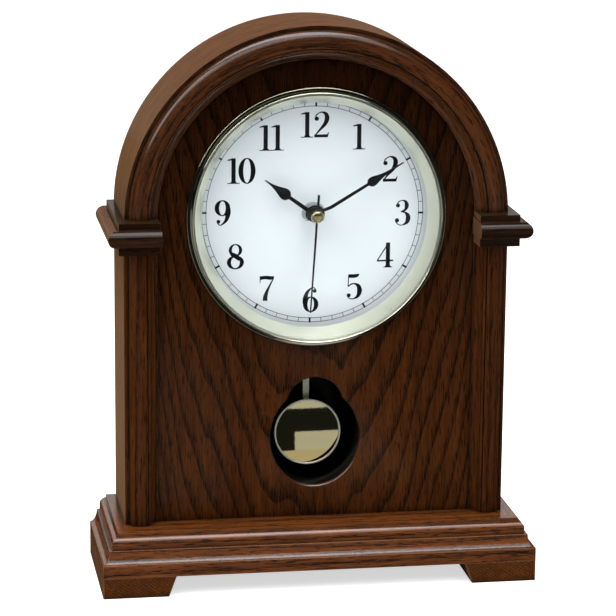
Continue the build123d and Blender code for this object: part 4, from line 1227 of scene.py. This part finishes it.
def make_room():
    """Dim studio with a small pale table and papers, seen only as reflections."""
    front = ROOM_FRONT + FRONT_PAPER_GAP
    front_paper = wall_sheet((-FRONT_PAPER_HALF, front), (FRONT_PAPER_HALF, front), FRONT_PAPER_HEIGHT)
    pale = {"room_table": floor_paper(TABLE), "room_strip": floor_paper(FAR_STRIP)}
    tan = {"room_near_table": floor_paper(NEAR_TABLE)}
    grey = {"room_left_floor": floor_paper(LEFT_PAPER), "room_right_floor": floor_paper(RIGHT_PAPER)}
    grey["room_front_paper"] = front_paper
    white = {"room_left_paper": floor_paper(SIDE_PAPER, -1), "room_right_paper": floor_paper(SIDE_PAPER)}
    groups = (
        (room_finish("room_dark", ROOM_DARK), room_shell()),
        (room_finish("room_pale", ROOM_PALE), pale),
        (room_finish("room_tan", ROOM_TAN), tan),
        (room_finish("room_grey", ROOM_GREY), grey),
        (room_finish("room_white", ROOM_WHITE), white),
    )
    for finish, sheets in groups:
        for name, corners in sheets.items():
            sheet = stage_sheet(name, corners, finish)
            sheet.visible_camera = False
            sheet.visible_diffuse = False
            sheet.visible_shadow = False


# Studio: world, lamps and camera
def make_world():
    """White for the camera, mirrors and glass, and a softer light on surfaces."""
    world = bpy.data.worlds.new("studio")
    world.use_nodes = True
    tree = world.node_tree
    path = tree.nodes.new("ShaderNodeLightPath")
    seen = path.outputs["Is Camera Ray"]
    for ray in ("Is Glossy Ray", "Is Transmission Ray"):
        either = tree.nodes.new("ShaderNodeMath")
        either.operation = "MAXIMUM"
        tree.links.new(seen, either.inputs[0])
        tree.links.new(path.outputs[ray], either.inputs[1])
        seen = either.outputs[0]
    strength = tree.nodes.new("ShaderNodeMapRange")
    tree.links.new(seen, strength.inputs["Value"])
    strength.inputs["To Min"].default_value = WORLD_LIGHT
    strength.inputs["To Max"].default_value = 1.0
    background = tree.nodes["Background"]
    background.inputs["Color"].default_value = rgba(WHITE)
    tree.links.new(strength.outputs[0], background.inputs["Strength"])
    bpy.context.scene.world = world


def make_lamp(name, place, size, power):
    data = bpy.data.lights.new(name, "AREA")
    data.shape = "RECTANGLE"
    data.size, data.size_y = size
    data.energy = power
    lamp = bpy.data.objects.new(name, data)
    lamp.location = place
    lamp.rotation_euler = (LAMP_TARGET - Vector(place)).to_track_quat("-Z", "Y").to_euler()
    bpy.context.scene.collection.objects.link(lamp)


def make_camera():
    data = bpy.data.cameras.new("camera")
    data.lens = CAMERA_LENS
    data.sensor_width = CAMERA_SENSOR
    data.sensor_fit = "HORIZONTAL"
    data.clip_end = CAMERA_CLIP
    camera = bpy.data.objects.new("camera", data)
    bpy.context.scene.collection.objects.link(camera)
    sine = math.sin(CAMERA_AZIMUTH)
    cosine = math.cos(CAMERA_AZIMUTH)
    level = math.cos(CAMERA_PITCH)
    forward = Vector((sine * level, cosine * level, -math.sin(CAMERA_PITCH)))
    right = Vector((cosine, -sine, 0.0))
    up = right.cross(forward)
    rolled_right = math.cos(CAMERA_ROLL) * right + math.sin(CAMERA_ROLL) * up
    rolled_up = math.cos(CAMERA_ROLL) * up - math.sin(CAMERA_ROLL) * right
    turn = Matrix((rolled_right, rolled_up, -forward)).transposed().to_4x4()
    camera.matrix_world = Matrix.Translation(CAMERA_PLACE) @ turn
    bpy.context.scene.camera = camera


make_floor()
make_room()
make_world()
for lamp_values in LAMPS:
    make_lamp(*lamp_values)
make_camera()
bpy.context.scene.view_settings.view_transform = "Standard"
